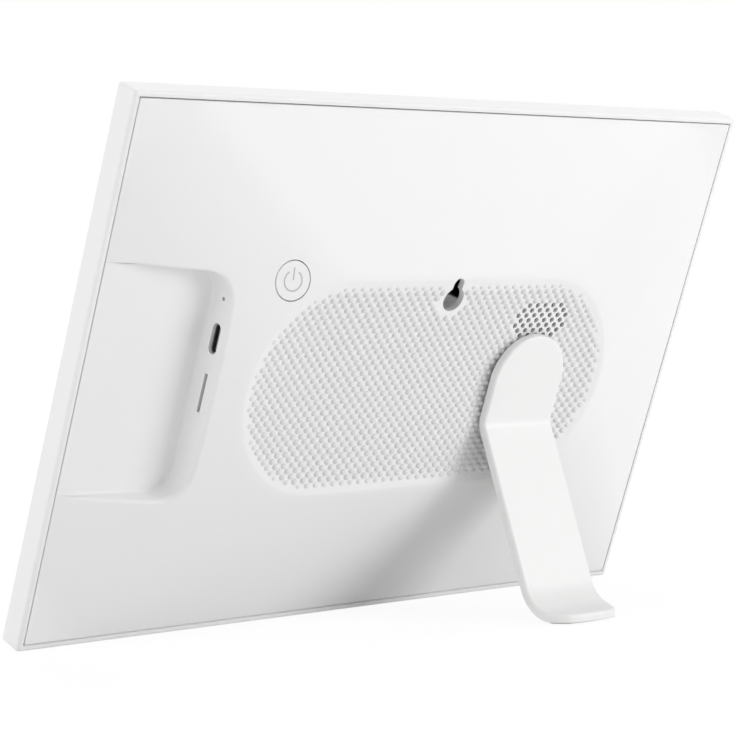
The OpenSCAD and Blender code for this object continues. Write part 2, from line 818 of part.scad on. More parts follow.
module reset_plunger() {
  color("red") placed() along_x(wall_in_x + 0.5, wall_in_x + 3.8) translate([reset_y, port_z]) circle(0.7);
}

module display_connector() {
  color("ivory") placed()
    block(connector_x, connector_x + connector_w, board_low + 2.5, board_low + 7.5,
          board_back - 2, board_back);
}

module display_ribbon() {
  z0 = tray_back + 0.2;
  color("darkorange") placed() ribbon([
    [-tray_h / 2 + 8, z0], [board_low - 10, z0],
    [board_low - 1, board_back - 1], [board_low + 2.3, board_back - 1]
  ], connector_x + 2, connector_x + connector_w - 2, 0.3);
}

module touch_ribbon() {
  z0 = tray_back + 0.2;
  y0 = -tray_h / 2 - 0.5;
  color("darkorange") placed() ribbon([
    [y0 - 1, -frame_d + glass_t + 0.2], [y0 - 0.1, -frame_d + glass_t + 0.5],
    [y0 - 0.1, z0], [y0 + 24, z0]
  ], -6, 6, 0.3);
}

// ---- power button and switch ----

module power_button() {
  color("white") placed() at_button() {
    translate([0, 0, -cap_t]) cylinder(h = cap_t - 0.3, r = button_r);
    translate([0, 0, -0.3]) cylinder(h = 0.3, r = button_r - 0.3);
    translate([0, 0, -0.3]) rotate_extrude() translate([button_r - 0.3, 0]) circle(0.3);
    translate([0, 0, -skin - flange_gap - flange_t]) cylinder(h = flange_t, r = button_flange_r);
    translate([0, 0, plunger_top]) cylinder(h = -plunger_top - 1, r = stem_r + 0.6);
  }
}

module power_switch_plunger() {
  color("black") placed() at_button()
    translate([0, 0, switch_top - plunger_in])
      cylinder(h = plunger_top - switch_top + plunger_in, r = stem_r);
}

module power_switch() {
  color("dimgray") placed() at_button() difference() {
    translate([-switch_w / 2, -switch_w / 2, switch_board_top]) cube([switch_w, switch_w, switch_h]);
    translate([0, 0, switch_top - plunger_in - button_travel - 0.45])
      cylinder(h = switch_h, r = stem_r + 0.05);
  }
}

module power_switch_board() {
  half = switch_post_x + 2.2;
  color("darkgreen") placed() difference() {
    at_button() translate([-half, -switch_board_w / 2, switch_board_top - board_t])
      cube([2 * half, switch_board_w, board_t]);
    switch_post_set(1, switch_board_top - 2, switch_board_top + 1);
  }
}

module switch_board_screws() {
  color("silver") placed() at_button() for (s = [-1, 1])
    translate([s * switch_post_x, 0, switch_board_top - board_t]) screw(1.7, 0.9, 0.75, 3.4);
}

// A point x along the slope and z along its normal from the button's centre
function on_slope(x, z) = button_pos + [
  (x * cos(button_tilt) + z * sin(button_tilt)) * button_out[0],
  (x * cos(button_tilt) + z * sin(button_tilt)) * button_out[1],
  z * cos(button_tilt) - x * sin(button_tilt)
];

module switch_ribbon() {
  under = switch_board_top - board_t;
  color("white") placed() wire([
    on_slope(-1, under - 0.52), on_slope(-2.5, under - 0.8), on_slope(-4, under - 2.4),
    [chip_x - 5, board_step_y - 4, board_back - 1.6], [chip_x, board_step_y - 12, board_back - 0.52]
  ], 0.5);
}

// ---- antenna ----

module wifi_antenna() {
  color("goldenrod") placed()
    block(antenna_x, antenna_x + 14, antenna_y, antenna_y + 2, antenna_z, antenna_z + 0.4);
}

module antenna_cable() {
  end_x = board_x + board_len;
  color("black") placed() wire([
    [antenna_x, antenna_y + 1, antenna_z + 0.2], [antenna_x - 30, antenna_y + 2, antenna_z - 0.6],
    [end_x + 2, board_step_y + 1.5, board_z + 0.8], [end_x - 10, board_step_y - 0.5, board_z + 2.2],
    [shield_x + 12, board_step_y - 5, board_z + 2.6], [shield_x + 5, board_step_y - 9, board_z + 2.52]
  ], 0.5);
}

// ---- stand ----

// Points of an arc, from angle a0 to a1
function arc(centre, r, a0, a1) = [
  for (i = [0 : bend_steps]) let (a = a0 + (a1 - a0) * i / bend_steps) centre + r * [cos(a), sin(a)]
];

// Side view of the strap, from its top end to the end of the foot
module strap_profile() {
  polygon(concat(
    [[strap_w, strap_z], [strap_w, strap_z + strap_t]],
    arc(bend_centre, bend_r, 270, 270 - bend_angle),
    arc(foot_centre, foot_bend_r - strap_t, 270 - bend_angle, 180 - lean),
    [foot_end + strap_t * up_dir, foot_end],
    arc(foot_centre, foot_bend_r, 180 - lean, 270 - bend_angle),
    arc(bend_centre, bend_r + strap_t, 270 - bend_angle, 270)
  ));
}

module stand_arm() {
  color("white") placed() difference() {
    at_pivot() intersection() {
      along_x(-strap_w, strap_w) strap_profile();
      translate([0, 0, strap_z - 1]) linear_extrude(2 * frame_h) {
        circle(strap_w / 2);
        translate([-strap_w / 2, -2 * frame_h]) square([strap_w, 2 * frame_h]);
      }
    }
    foot_trim();
    level() translate([-pivot_x, 0, pad_proud - 1]) linear_extrude(1 + pad_t - pad_proud) foot_pad_plan(0.1);
    at_pivot() for (a = [0, 120, 240]) rotate([0, 0, a + 30]) translate([hub_screw_ring, 0, strap_z - 1])
      cylinder(h = 2.9, r = 0.95);
  }
}

// What is cut off the foot to leave its bowed, round-cornered end
module foot_trim() {
  level() translate([-pivot_x, back(foot_end), -5]) linear_extrude(30) {
    difference() {
      translate([-strap_w, -foot_corner_r]) square([2 * strap_w, foot_corner_r + 10]);
      translate([0, -foot_bow_r]) circle(foot_bow_r);
    }
    for (s = [0, 1]) mirror([s, 0]) translate([strap_w / 2 + 0.03 - foot_corner_r, -foot_corner_r])
      difference() {
        square(foot_corner_r + 10);
        circle(foot_corner_r);
      }
  }
}

module foot_plan(w, inset) {
  intersection() {
    translate([0, -30 - inset]) rounded(w - 2 * inset, 60, foot_corner_r - inset);
    translate([0, -foot_bow_r]) circle(foot_bow_r - inset);
  }
}

module foot_pad_plan(grow) {
  end = back(foot_end);
  translate([0, end]) intersection() {
    foot_plan(strap_w, pad_inset - grow);
    translate([-strap_w, -foot_len - pad_reach - grow]) square([2 * strap_w, foot_len + pad_reach + grow]);
  }
}

module foot_pad() {
  color("gray") placed() level() translate([-pivot_x, 0, 0]) linear_extrude(pad_t) foot_pad_plan(0);
}

module hub_holes(r) {
  for (a = [0, 120, 240]) rotate([0, 0, a + 30]) translate([hub_screw_ring, 0, 0]) cylinder(h = 20, r = r);
}

module stand_hub() {
  color("silver") placed() at_pivot() difference() {
    union() {
      translate([0, 0, dish_floor + swivel_gap])
        cylinder(h = strap_z - dish_floor - swivel_gap, r = hub_flange_r);
      translate([0, 0, shaft_low]) cylinder(h = strap_z - shaft_low, r = hub_r);
    }
    hub_holes(1.3);
  }
}

module spring_washer() {
  color("silver") placed() at_pivot() difference() {
    translate([0, 0, shaft_low]) cylinder(h = washer_t, r = hub_r + 3);
    translate([0, 0, shaft_low - 1]) cylinder(h = washer_t + 2, r = hub_r + 0.05);
  }
}

module swivel_plate() {
  color("silver") placed() at_pivot() difference() {
    translate([0, 0, shaft_low - swivel_plate_t]) union() {
      cylinder(h = swivel_plate_t, r = swivel_plate_r);
      translate([-lug_reach, -lug_w / 2, 0]) cube([lug_reach, lug_w, swivel_plate_t]);
    }
    hub_holes(1.3);
  }
}

module hub_screws() {
  color("silver") placed() at_pivot() for (a = [0, 120, 240]) rotate([0, 0, a + 30])
    translate([hub_screw_ring, 0, shaft_low - swivel_plate_t])
      screw(2.2, 1.3, 0.95, strap_z + 1.8 - shaft_low + swivel_plate_t);
}

front_frame();
glass_tape();
cover_glass();
lcd_panel();
light_guide();
led_strip();
backlight_tray();
panel_screws();
back_cover();
keyhole_pocket();
speaker_mesh();
speaker_box();
speaker_cone();
speaker_screws();
speaker_lead();
main_board();
board_screws();
processor();
memory_chips();
power_coils();
wifi_shield();
usb_c_shell();
usb_c_tongue();
microsd_socket();
reset_switch();
reset_plunger();
power_button();
power_switch_plunger();
power_switch();
power_switch_board();
switch_board_screws();
switch_ribbon();
display_connector();
display_ribbon();
touch_ribbon();
wifi_antenna();
antenna_cable();
stand_arm();
foot_pad();
stand_hub();
swivel_plate();
spring_washer();
hub_screws();
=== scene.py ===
# %% [markdown]
# # A digital photo frame, seen from behind
#
# The object is a 10.1-inch digital photo frame: a white moulded case whose domed
# back carries a sunk pad, a swivelling stand, a keyhole for the wall, a power
# button and a recess with the sockets. The engineering model already holds every
# piece at its true size. This script loads it, keeps the pieces whose shape is
# final, rebuilds in finer form the ones that the eye dwells on, and gives every
# one of them a procedural finish.

import json
import math

import bpy
import numpy as np
from mathutils import Matrix, Vector
from mathutils.geometry import delaunay_2d_cdt

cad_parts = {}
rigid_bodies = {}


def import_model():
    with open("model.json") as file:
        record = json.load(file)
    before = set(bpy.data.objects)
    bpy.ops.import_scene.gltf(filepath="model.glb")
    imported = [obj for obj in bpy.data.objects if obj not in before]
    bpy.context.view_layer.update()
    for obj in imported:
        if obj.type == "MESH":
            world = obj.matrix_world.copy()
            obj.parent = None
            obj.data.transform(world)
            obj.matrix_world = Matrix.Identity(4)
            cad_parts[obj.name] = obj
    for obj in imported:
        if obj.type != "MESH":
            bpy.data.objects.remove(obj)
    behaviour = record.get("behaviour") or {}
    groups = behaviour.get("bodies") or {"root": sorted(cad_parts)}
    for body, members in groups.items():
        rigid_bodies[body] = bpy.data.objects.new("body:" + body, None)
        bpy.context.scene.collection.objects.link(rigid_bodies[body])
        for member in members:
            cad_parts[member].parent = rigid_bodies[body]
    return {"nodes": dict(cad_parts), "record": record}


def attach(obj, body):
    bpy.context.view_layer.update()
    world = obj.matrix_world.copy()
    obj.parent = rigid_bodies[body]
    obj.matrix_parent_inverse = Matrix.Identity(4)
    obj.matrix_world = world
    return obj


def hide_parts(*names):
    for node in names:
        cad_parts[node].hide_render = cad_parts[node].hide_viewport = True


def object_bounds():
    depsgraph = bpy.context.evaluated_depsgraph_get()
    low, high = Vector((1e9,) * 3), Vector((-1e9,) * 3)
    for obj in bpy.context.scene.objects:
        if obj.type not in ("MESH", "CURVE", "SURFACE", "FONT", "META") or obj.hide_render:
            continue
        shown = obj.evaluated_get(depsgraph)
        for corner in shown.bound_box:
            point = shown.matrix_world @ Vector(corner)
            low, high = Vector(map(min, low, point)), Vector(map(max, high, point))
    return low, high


for thing in list(bpy.data.objects):
    bpy.data.objects.remove(thing)
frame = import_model()
scene = bpy.context.scene
cad_box = [list(corner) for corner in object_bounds()]

# %% [markdown]
# ## Axes
#
# It is easier to think of the case lying face down: x to the right as seen from
# behind, y up the case, and z out of its back, in millimetres. On its stand it
# leans back by 20 degrees. One matrix carries those axes into the model's frame,
# where the unit is the metre and the object stands on the floor.

# %% Axes of the case
LEAN = math.radians(20)
FRAME_H, FRAME_DEPTH = 168.9, 8.3
REAR_EDGE_R, FRONT_EDGE_R = 1.0, 0.8
edge_drop = REAR_EDGE_R * (math.cos(LEAN) + math.sin(LEAN) - 1)
front_reach = (FRAME_DEPTH - FRONT_EDGE_R) * math.cos(LEAN) + FRONT_EDGE_R * (1 - math.sin(LEAN))
set_back = -cad_box[0][1] * 1000 - front_reach

CASE = (Matrix.Scale(0.001, 4)
        @ Matrix.Translation((0, -set_back, -edge_drop))
        @ Matrix.Rotation(math.pi, 4, "Z") @ Matrix.Rotation(math.pi / 2 + LEAN, 4, "X")
        @ Matrix.Translation((0, FRAME_H / 2, 0)))
CASE_ARRAY = np.array(CASE)


def to_row(points):
    """Points of the case in millimetres, as points of the model in metres."""
    points = np.asarray(points, float)
    return points @ CASE_ARRAY[:3, :3].T + CASE_ARRAY[:3, 3]


def to_row_directions(directions):
    directions = np.asarray(directions, float) @ CASE_ARRAY[:3, :3].T
    return directions / np.maximum(np.linalg.norm(directions, axis=1, keepdims=True), 1e-12)


print("case origin in the model:", to_row([[0, 0, 0]]).round(4).tolist(), "set back", round(set_back, 3))

# %% Turn points and faces into an object
def added(name, data):
    """A new object, linked into the scene."""
    thing = bpy.data.objects.new(name, data)
    scene.collection.objects.link(thing)
    return thing


def make_piece(name, points, faces, material, normals=None, sharp=False):
    """A mesh object at the origin, with its place in its mesh."""
    mesh = bpy.data.meshes.new(name)
    mesh.from_pydata([tuple(p) for p in to_row(points)], [], [tuple(int(i) for i in f) for f in faces])
    mesh.materials.append(material)
    mesh.update()
    if not sharp:
        mesh.shade_smooth()
    if normals is not None:
        mesh.normals_split_custom_set_from_vertices([tuple(n) for n in to_row_directions(normals)])
    return added(name, mesh)


def finish_piece(piece, body, slot_name, *nodes):
    """Rides on its body and stands in for the nodes it replaces. slot_name is not used."""
    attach(piece, body)
    if nodes:
        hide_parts(*nodes)
    print(piece.name, "rides on", body, "with", len(piece.data.polygons), "faces")


# %% [markdown]
# ## Finishes
#
# Moulded plastic is never one flat colour. The steel tool leaves a fine grain,
# the gloss changes a little from place to place, and the colour drifts by a
# percent or so. One node group gives all of that as masks and values, and each
# material places it with its own colour and sizes. A second group draws the
# fine lines that rolling and turning leave in steel.

# %% A short way to write node trees
class Net:
    """Adds nodes to a tree and links them in one line."""

    def __init__(self, tree):
        self.tree = tree

    def put(self, value, socket):
        if isinstance(value, bpy.types.NodeSocket):
            self.tree.links.new(value, socket)
        elif value is not None:
            socket.default_value = value

    def fill(self, node, values):
        for socket, value in values.items():
            self.put(value, node.inputs[socket])

    def node(self, kind, values=(), **settings):
        node = self.tree.nodes.new(kind)
        for key, value in settings.items():
            setattr(node, key, value)
        self.fill(node, dict(values))
        return node

    def math(self, operation, a, b=None, c=None):
        node = self.node("ShaderNodeMath", operation=operation)
        for socket, value in zip(node.inputs, (a, b, c)):
            self.put(value, socket)
        return node.outputs[0]

    def place(self):
        return self.node("ShaderNodeTexCoord").outputs["Object"]

    def noise(self, scale, detail, vector):
        values = {"Vector": vector, "Scale": scale, "Detail": detail}
        return self.node("ShaderNodeTexNoise", values).outputs["Fac"]

    def ranged(self, value, **ends):
        """Map Range, whose ends are given as to_min, to_max, from_min and from_max."""
        named = {label.replace("_", " ").title(): end for label, end in ends.items()}
        return self.node("ShaderNodeMapRange", {"Value": value, **named}).outputs["Result"]

    def tinted(self, color, shade):
        return self.node("ShaderNodeVectorMath", {0: color, "Scale": shade}, operation="SCALE").outputs[0]


for short, operation in (("add", "ADD"), ("less", "SUBTRACT"), ("times", "MULTIPLY"), ("most", "MAXIMUM"),
                         ("least", "MINIMUM"), ("under", "LESS_THAN"), ("over", "GREATER_THAN")):
    setattr(Net, short, lambda self, a, b, operation=operation: self.math(operation, a, b))
print("helpers for node trees are ready")

# %% Node groups: moulded grain and worked metal
def surface_group(name, values):
    """A group with these inputs, and with colour, roughness and height as its outputs."""
    tree = bpy.data.node_groups.new(name, "ShaderNodeTree")

    def socket(label, way):
        kind = "NodeSocketColor" if label == "Color" else "NodeSocketFloat"
        return tree.interface.new_socket(name=label, in_out=way, socket_type=kind)

    for label, value in values.items():
        socket(label, "INPUT").default_value = value
    for label in ("Color", "Roughness", "Height"):
        socket(label, "OUTPUT")
    net = Net(tree)
    return net, net.node("NodeGroupInput").outputs, net.node("NodeGroupOutput")


def moulded_grain_group():
    net, given, made = surface_group("moulded grain", {
        "Color": (0.8, 0.8, 0.8, 1), "Drift": 0.02, "Roughness": 0.45, "Gloss change": 0.08,
        "Grain per metre": 2500.0})
    place = net.place()
    drift = net.less(net.noise(28, 4, place), 0.5)
    shade = net.math("MULTIPLY_ADD", drift, given["Drift"], 1)
    net.fill(made, {"Color": net.tinted(given["Color"], shade),
                    "Roughness": net.math("MULTIPLY_ADD", drift, given["Gloss change"], given["Roughness"]),
                    "Height": net.noise(given["Grain per metre"], 3, place)})
    return net.tree


def worked_metal_group():
    net, given, made = surface_group("worked metal", {
        "Color": (0.6, 0.6, 0.6, 1), "Drift": 0.1, "Roughness": 0.3, "Lines per metre": 3000.0})
    stretched = net.node("ShaderNodeMapping", {"Vector": net.place(), "Scale": (0.05, 1, 1)})
    lines = net.noise(given["Lines per metre"], 5, stretched.outputs[0])
    shade = net.ranged(lines, to_min=1, to_max=net.less(1, given["Drift"]))
    net.fill(made, {"Color": net.tinted(given["Color"], shade),
                    "Roughness": net.math("MULTIPLY_ADD", lines, 0.18, given["Roughness"]),
                    "Height": lines})
    return net.tree


MOULDED, WORKED = moulded_grain_group(), worked_metal_group()
print("moulded grain has", len(MOULDED.nodes), "nodes, worked metal", len(WORKED.nodes))

# %% Materials from the two groups
finishes = {}


def new_material(name, metallic=0.0):
    material = bpy.data.materials.new(name)
    material.use_nodes = True
    shader = material.node_tree.nodes["Principled BSDF"]
    shader.inputs["Metallic"].default_value = metallic
    return material, Net(material.node_tree), shader


def grained(name, group, values, depth, metallic=0.0):
    """A finish whose colour, roughness and bump come from one of the groups."""
    material, net, shader = new_material(name, metallic)
    surface = net.node("ShaderNodeGroup", node_tree=group)
    for label, value in values.items():
        surface.inputs[label].default_value = (*value, 1) if label == "Color" else value
    bump = net.node("ShaderNodeBump", {"Distance": depth, "Strength": 1, "Height": surface.outputs["Height"]})
    net.fill(shader, {"Base Color": surface.outputs["Color"], "Roughness": surface.outputs["Roughness"],
                      "Normal": bump.outputs["Normal"]})
    finishes[name] = material


def plastic(name, color, rough=0.45, grain_mm=0.35, depth_mm=0.004, drift=0.02):
    values = {"Color": color, "Drift": drift, "Roughness": rough, "Grain per metre": 1000 / grain_mm}
    grained(name, MOULDED, values, depth_mm / 1000)


def metal(name, color, rough=0.25, line_mm=0.3):
    values = {"Color": color, "Drift": 0.12, "Roughness": rough, "Lines per metre": 1000 / line_mm}
    grained(name, WORKED, values, 0.003 / 1000, metallic=1.0)


# %% [markdown]
# ### The finishes of this frame
#
# The case, cover, stand and button are the same satin white plastic. The stand
# is a shade warmer because it is a separate moulding. The pocket behind the
# keyhole, an inner piece, is greyer: painted shade for the inside of the keyhole.
# The bumps are the cover's own plastic, moulded in one with it, but their finish
# here is greyer: painted shade between the bumps, without which the pad comes out
# too pale. Inside there are steel, boards, chips and leads, which show only
# through the holes or when the case is taken apart, so their finishes are
# simpler but never flat.

# %% White mouldings
WHITE = (0.86, 0.86, 0.858)
plastic("white_frame", WHITE, rough=0.42, depth_mm=0.003)
plastic("white_cover", WHITE, rough=0.48)
# Painted shade: the bumps are greyer than the cover they are moulded with, standing in for the shade between
# them.
plastic("bumps_painted_shade", (0.77, 0.77, 0.77), rough=0.55)
plastic("white_stand", (0.87, 0.87, 0.865), rough=0.4)
plastic("white_button", WHITE, rough=0.38, depth_mm=0.002)
# Painted shade: the pocket's greyer white stands in for the shade inside the keyhole.
plastic("white_pocket", (0.8, 0.8, 0.8), rough=0.6)
plastic("foot_rubber", (0.34, 0.34, 0.34), rough=0.8, grain_mm=0.5, depth_mm=0.02)
print("mouldings:", len(finishes))

# %% Screen side
plastic("tape_black", (0.012, 0.012, 0.013), rough=0.7)
plastic("panel_dark", (0.010, 0.011, 0.014), rough=0.25, grain_mm=0.2, depth_mm=0.001)
plastic("guide_acrylic", (0.75, 0.77, 0.78), rough=0.12, grain_mm=1.2, depth_mm=0.002)
plastic("led_flex", (0.8, 0.74, 0.42), rough=0.4, grain_mm=0.6)
metal("tray_steel", (0.58, 0.59, 0.6), rough=0.35)


def glass_material():
    """Clear cover glass over a dark panel: the sheet itself is almost colourless."""
    material, net, shader = new_material("lens_glass")
    film = net.ranged(net.noise(14, 6, net.place()), to_min=0.015, to_max=0.05)
    net.fill(shader, {"Base Color": (0.96, 0.975, 0.97, 1), "Transmission Weight": 1, "IOR": 1.5,
                      "Roughness": film})
    return material


finishes["lens_glass"] = glass_material()

# %% Inside the case
metal("screw_steel", (0.55, 0.55, 0.56), rough=0.22, line_mm=0.12)
metal("hub_steel", (0.6, 0.6, 0.61), rough=0.28, line_mm=0.2)
metal("spring_steel", (0.42, 0.43, 0.45), rough=0.3, line_mm=0.2)
metal("socket_steel", (0.36, 0.36, 0.37), rough=0.34, line_mm=0.25)
metal("shield_steel", (0.62, 0.62, 0.61), rough=0.3)
metal("antenna_gold", (0.75, 0.56, 0.24), rough=0.3, line_mm=0.2)
plastic("tongue_grey", (0.16, 0.16, 0.165), rough=0.5)
plastic("mesh_black", (0.008, 0.008, 0.008), rough=0.9, grain_mm=0.3, depth_mm=0.03)
plastic("box_black", (0.02, 0.02, 0.021), rough=0.5)
plastic("cone_black", (0.03, 0.03, 0.03), rough=0.75, grain_mm=0.8, depth_mm=0.03)
plastic("lead_red", (0.55, 0.03, 0.025), rough=0.4, grain_mm=0.8)
plastic("lead_white", (0.75, 0.75, 0.73), rough=0.4, grain_mm=0.8)
plastic("lead_black", (0.02, 0.02, 0.02), rough=0.4, grain_mm=0.8)
plastic("board_green", (0.02, 0.16, 0.06), rough=0.35, grain_mm=1.5, drift=0.3)
plastic("chip_black", (0.018, 0.018, 0.02), rough=0.55, grain_mm=0.25, depth_mm=0.006)
plastic("coil_grey", (0.11, 0.11, 0.115), rough=0.6, grain_mm=0.4, depth_mm=0.01)
plastic("connector_ivory", (0.7, 0.66, 0.54))
plastic("flex_amber", (0.62, 0.26, 0.04), rough=0.3, grain_mm=1.2, drift=0.15)
plastic("plunger_red", (0.5, 0.04, 0.03))
plastic("plunger_black", (0.02, 0.02, 0.02))
print("finishes:", len(finishes))

# %% Give every engineering node its finish
for subpart in frame["record"]["subparts"]:
    node = frame["nodes"][subpart["node"]]
    for material_slot in node.material_slots:
        material_slot.material = finishes[subpart["material_slot"]]
    if not node.material_slots:
        node.data.materials.append(finishes[subpart["material_slot"]])

# %% [markdown]
# ## The back cover
#
# The cover is one thin shell: a low dome with four gentle slopes, rounded
# shoulders that leave small flat corners, and on top an oval pad sunk like a
# shallow dish. Such a shape is a height for every point of a plan, so it is
# written as a function of x and y. A triangulation of the plan, with lines where
# the surface changes, then carries the function. The same plan, lowered by the
# thickness of the skin, is the inner face, which makes the shell closed. A solid
# modeller would give the same form in few large faces, but the soft creases and
# the rounded lip of the recess come out better this way.

# %% Sizes of the cover
COVER_W, COVER_H, COVER_CORNER_R = 245.5, 164.4, 0.5
DOME_W, DOME_HALF_H, DOME_H = 244.9, 81.9, 15.0
SHOULDER_R, PAD_R, PAD_HALF = 25.0, 34.7, 40.55
PAD_RIM, DISH_FLOOR = 0.4, 11.9
SKIN, SKIN_DROP, RIM_T = 2.0, 2.0981, 1.8
DISH_DEPTH = DOME_H - DISH_FLOOR
DISH_R = ((PAD_R - PAD_RIM) ** 2 + DISH_DEPTH ** 2) / (2 * DISH_DEPTH)
RECESS_X, RECESS_LOW, RECESS_HIGH, RECESS_R = -84.75, -35.0, 35.2, 9.0
RECESS_WALL, RECESS_LEN, RECESS_RISE = 1.8, 38.0, 2.7
RECESS_HALF_W = 60.0  # the recess runs out past the cover's edge
WALL_HALF = 0.05  # the wall of the recess takes twice this width in the plan
EDGE_WEAR, DISH_CREASE = 0.15, 0.5
RECESS_MIDDLE = (RECESS_X - RECESS_HALF_W, (RECESS_LOW + RECESS_HIGH) / 2)
RECESS_PLAN = (RECESS_HALF_W, (RECESS_HIGH - RECESS_LOW) / 2, RECESS_R)
COVER_PLAN = (COVER_W / 2, COVER_H / 2, COVER_CORNER_R)
PIVOT = (PAD_HALF, 0.0)
HUB_SEAT_R, BOSS_R, BOSS_LOW = 12.0, 12.0, DISH_FLOOR - 4.0
LIP_R, FLOOR_FILLET = 1.3, 0.9
DOME_FALL = DOME_H / (DOME_HALF_H - PAD_R)

# %% Distances in the plan
def rounded_distance(x, y, half_w, half_h, r):
    """Distance outside a rounded rectangle; negative inside it."""
    qx, qy = np.abs(x) - (half_w - r), np.abs(y) - (half_h - r)
    return np.hypot(np.maximum(qx, 0), np.maximum(qy, 0)) + np.minimum(np.maximum(qx, qy), 0) - r


def pad_distance(x, y):
    return np.hypot(np.maximum(np.abs(x) - PAD_HALF, 0), y) - PAD_R


def cover_distance(x, y):
    return rounded_distance(x, y, *COVER_PLAN)


def recess_distance(x, y):
    return rounded_distance(x - RECESS_MIDDLE[0], y - RECESS_MIDDLE[1], *RECESS_PLAN)


def soft_most(a, b, reach):
    """The larger of two heights, with the crease between them rounded."""
    near = np.maximum(reach - np.abs(a - b), 0) / reach
    return np.maximum(a, b) + near * near * reach / 4


def soft_least(a, b, reach):
    return -soft_most(-a, -b, reach)


# %% Height of the dome, its dish and its recess
def dome_plan(t):
    """Half width, half height and corner radius of the dome at a share t of its height."""
    return (DOME_W / 2 + (PAD_HALF + PAD_R - DOME_W / 2) * t, DOME_HALF_H + (PAD_R - DOME_HALF_H) * t,
            SHOULDER_R + (PAD_R - SHOULDER_R) * t)


def slope_height(x, y):
    """Height of the sloping sides, found by halving, since each level is a rounded rectangle."""
    low, high = np.full_like(x, -0.2), np.ones_like(x)
    for _ in range(32):
        t = (low + high) / 2
        inside = rounded_distance(x, y, *dome_plan(t)) < 0
        low, high = np.where(inside, t, low), np.where(inside, high, t)
    beyond = np.maximum(-pad_distance(x, y), 0) * DOME_FALL
    return DOME_H * low + np.where(low > 0.999, beyond, 0)


def dish_height(x, y, radius):
    along = np.hypot(np.maximum(np.abs(x) - PAD_HALF, 0), y)
    return DISH_FLOOR + DISH_R - np.sqrt(np.maximum(radius ** 2 - along ** 2, 0))


def ramp_height(x):
    """The recess's floor, which rises from the cover's edge to the port wall."""
    return RECESS_RISE * np.maximum(x + COVER_W / 2, 0) / RECESS_LEN


def outer_height(x, y):
    edge = -cover_distance(x, y)
    slope = soft_most(slope_height(x, y), np.zeros_like(x), np.clip(0.1 + 0.25 * edge, 0.1, 1.0))
    pad = np.minimum(dish_height(x, y, DISH_R), DOME_H)
    pad = np.where(np.hypot(x - PIVOT[0], y - PIVOT[1]) < HUB_SEAT_R, np.minimum(pad, DISH_FLOOR), pad)
    z = soft_least(slope, pad, DISH_CREASE)
    recess = recess_distance(x, y)
    floor_z = ramp_height(x)
    lip = np.minimum(LIP_R, z / 2)
    fillet = np.minimum(FLOOR_FILLET, np.maximum(z, 0) / 2)
    out = np.clip(recess - WALL_HALF, 0, None)
    into = np.clip(-recess - WALL_HALF, 0, None)
    lip_fall = lip - np.sqrt(np.maximum(lip ** 2 - np.maximum(lip - out, 0) ** 2, 0))
    fillet_rise = fillet - np.sqrt(np.maximum(fillet ** 2 - np.maximum(fillet - into, 0) ** 2, 0))
    top, bottom = z - lip_fall, floor_z + fillet_rise
    share = np.clip((recess + WALL_HALF) / (2 * WALL_HALF), 0, 1)
    z = bottom + (top - bottom) * share
    worn = np.maximum(EDGE_WEAR - edge, 0)
    return z - (EDGE_WEAR - np.sqrt(np.maximum(EDGE_WEAR ** 2 - worn ** 2, 0)))


# %% Height of the inner face, with its boss and posts
BOARD_X, BOARD_LOW, BOARD_LEN, BOARD_Z = RECESS_X + RECESS_WALL + 0.7, -30.0, 58.0, 6.0
BOARD_POSTS = [(BOARD_X + 11, BOARD_LOW + 5), (BOARD_X + BOARD_LEN - 5, BOARD_LOW + 5),
               (BOARD_X + BOARD_LEN - 5, 17.0), (BOARD_X + 14, 14.0)]
SPEAKER_X, SPEAKER_Y, SPEAKER_SKIN = PAD_HALF + 1.3, 19.4, 1.1
SPEAKER_ROOM = (13.5, 6.5, 1.5)
POST_R = 2.6


def inner_height(x, y):
    slope = slope_height(x, y) - SKIN_DROP
    z = np.minimum(np.minimum(slope, DOME_H - SKIN_DROP), dish_height(x, y, DISH_R + SKIN))
    by_speaker = rounded_distance(x - SPEAKER_X, y - SPEAKER_Y, *SPEAKER_ROOM) < 0
    z = np.where(by_speaker, dish_height(x, y, DISH_R + SPEAKER_SKIN), z)
    z = np.maximum(z, -RIM_T)
    z = np.where(recess_distance(x, y) < RECESS_WALL, np.minimum(z, ramp_height(x) - RIM_T), z)
    z = np.where(np.hypot(x - PIVOT[0], y - PIVOT[1]) < BOSS_R, np.minimum(z, BOSS_LOW), z)
    for px, py in BOARD_POSTS:
        z = np.where(np.hypot(x - px, y - py) < POST_R, np.minimum(z, BOARD_Z), z)
    return z


probe = np.array([0.0, 40.55, 0.0, -110.0, 120.0]), np.array([0.0, 0.0, 60.0, 0.0, 80.0])
print("outer heights:", outer_height(*probe).round(2), "inner:", inner_height(*probe).round(2))

# %% Lines and points of the plan
def corner_points(centre, half_w, half_h, r, steps):
    """Points of the four round corners of a rectangle, in order."""
    points = []
    for k, (sx, sy) in enumerate([(1, 1), (-1, 1), (-1, -1), (1, -1)]):
        for i in range(steps + 1):
            a = math.radians(90 * k + 90 * i / steps)
            points.append((centre[0] + sx * (half_w - r) + r * math.cos(a),
                           centre[1] + sy * (half_h - r) + r * math.sin(a)))
    return points


def rounded_loop(centre, half_w, half_h, r, gap):
    """Points round a rounded rectangle, about one gap apart."""
    points = corner_points(centre, half_w, half_h, r, max(4, int(math.ceil(r * math.pi / 2 / gap))))
    full = []
    for a, b in zip(points, points[1:] + points[:1]):
        steps = max(1, int(round(math.hypot(b[0] - a[0], b[1] - a[1]) / gap)))
        full += [(a[0] + (b[0] - a[0]) * i / steps, a[1] + (b[1] - a[1]) * i / steps) for i in range(steps)]
    return full


def grown_loop(centre, plan_sizes, grow, gap):
    """The loop round a rounded rectangle that has been grown by a distance."""
    return rounded_loop(centre, *(size + grow for size in plan_sizes), gap)


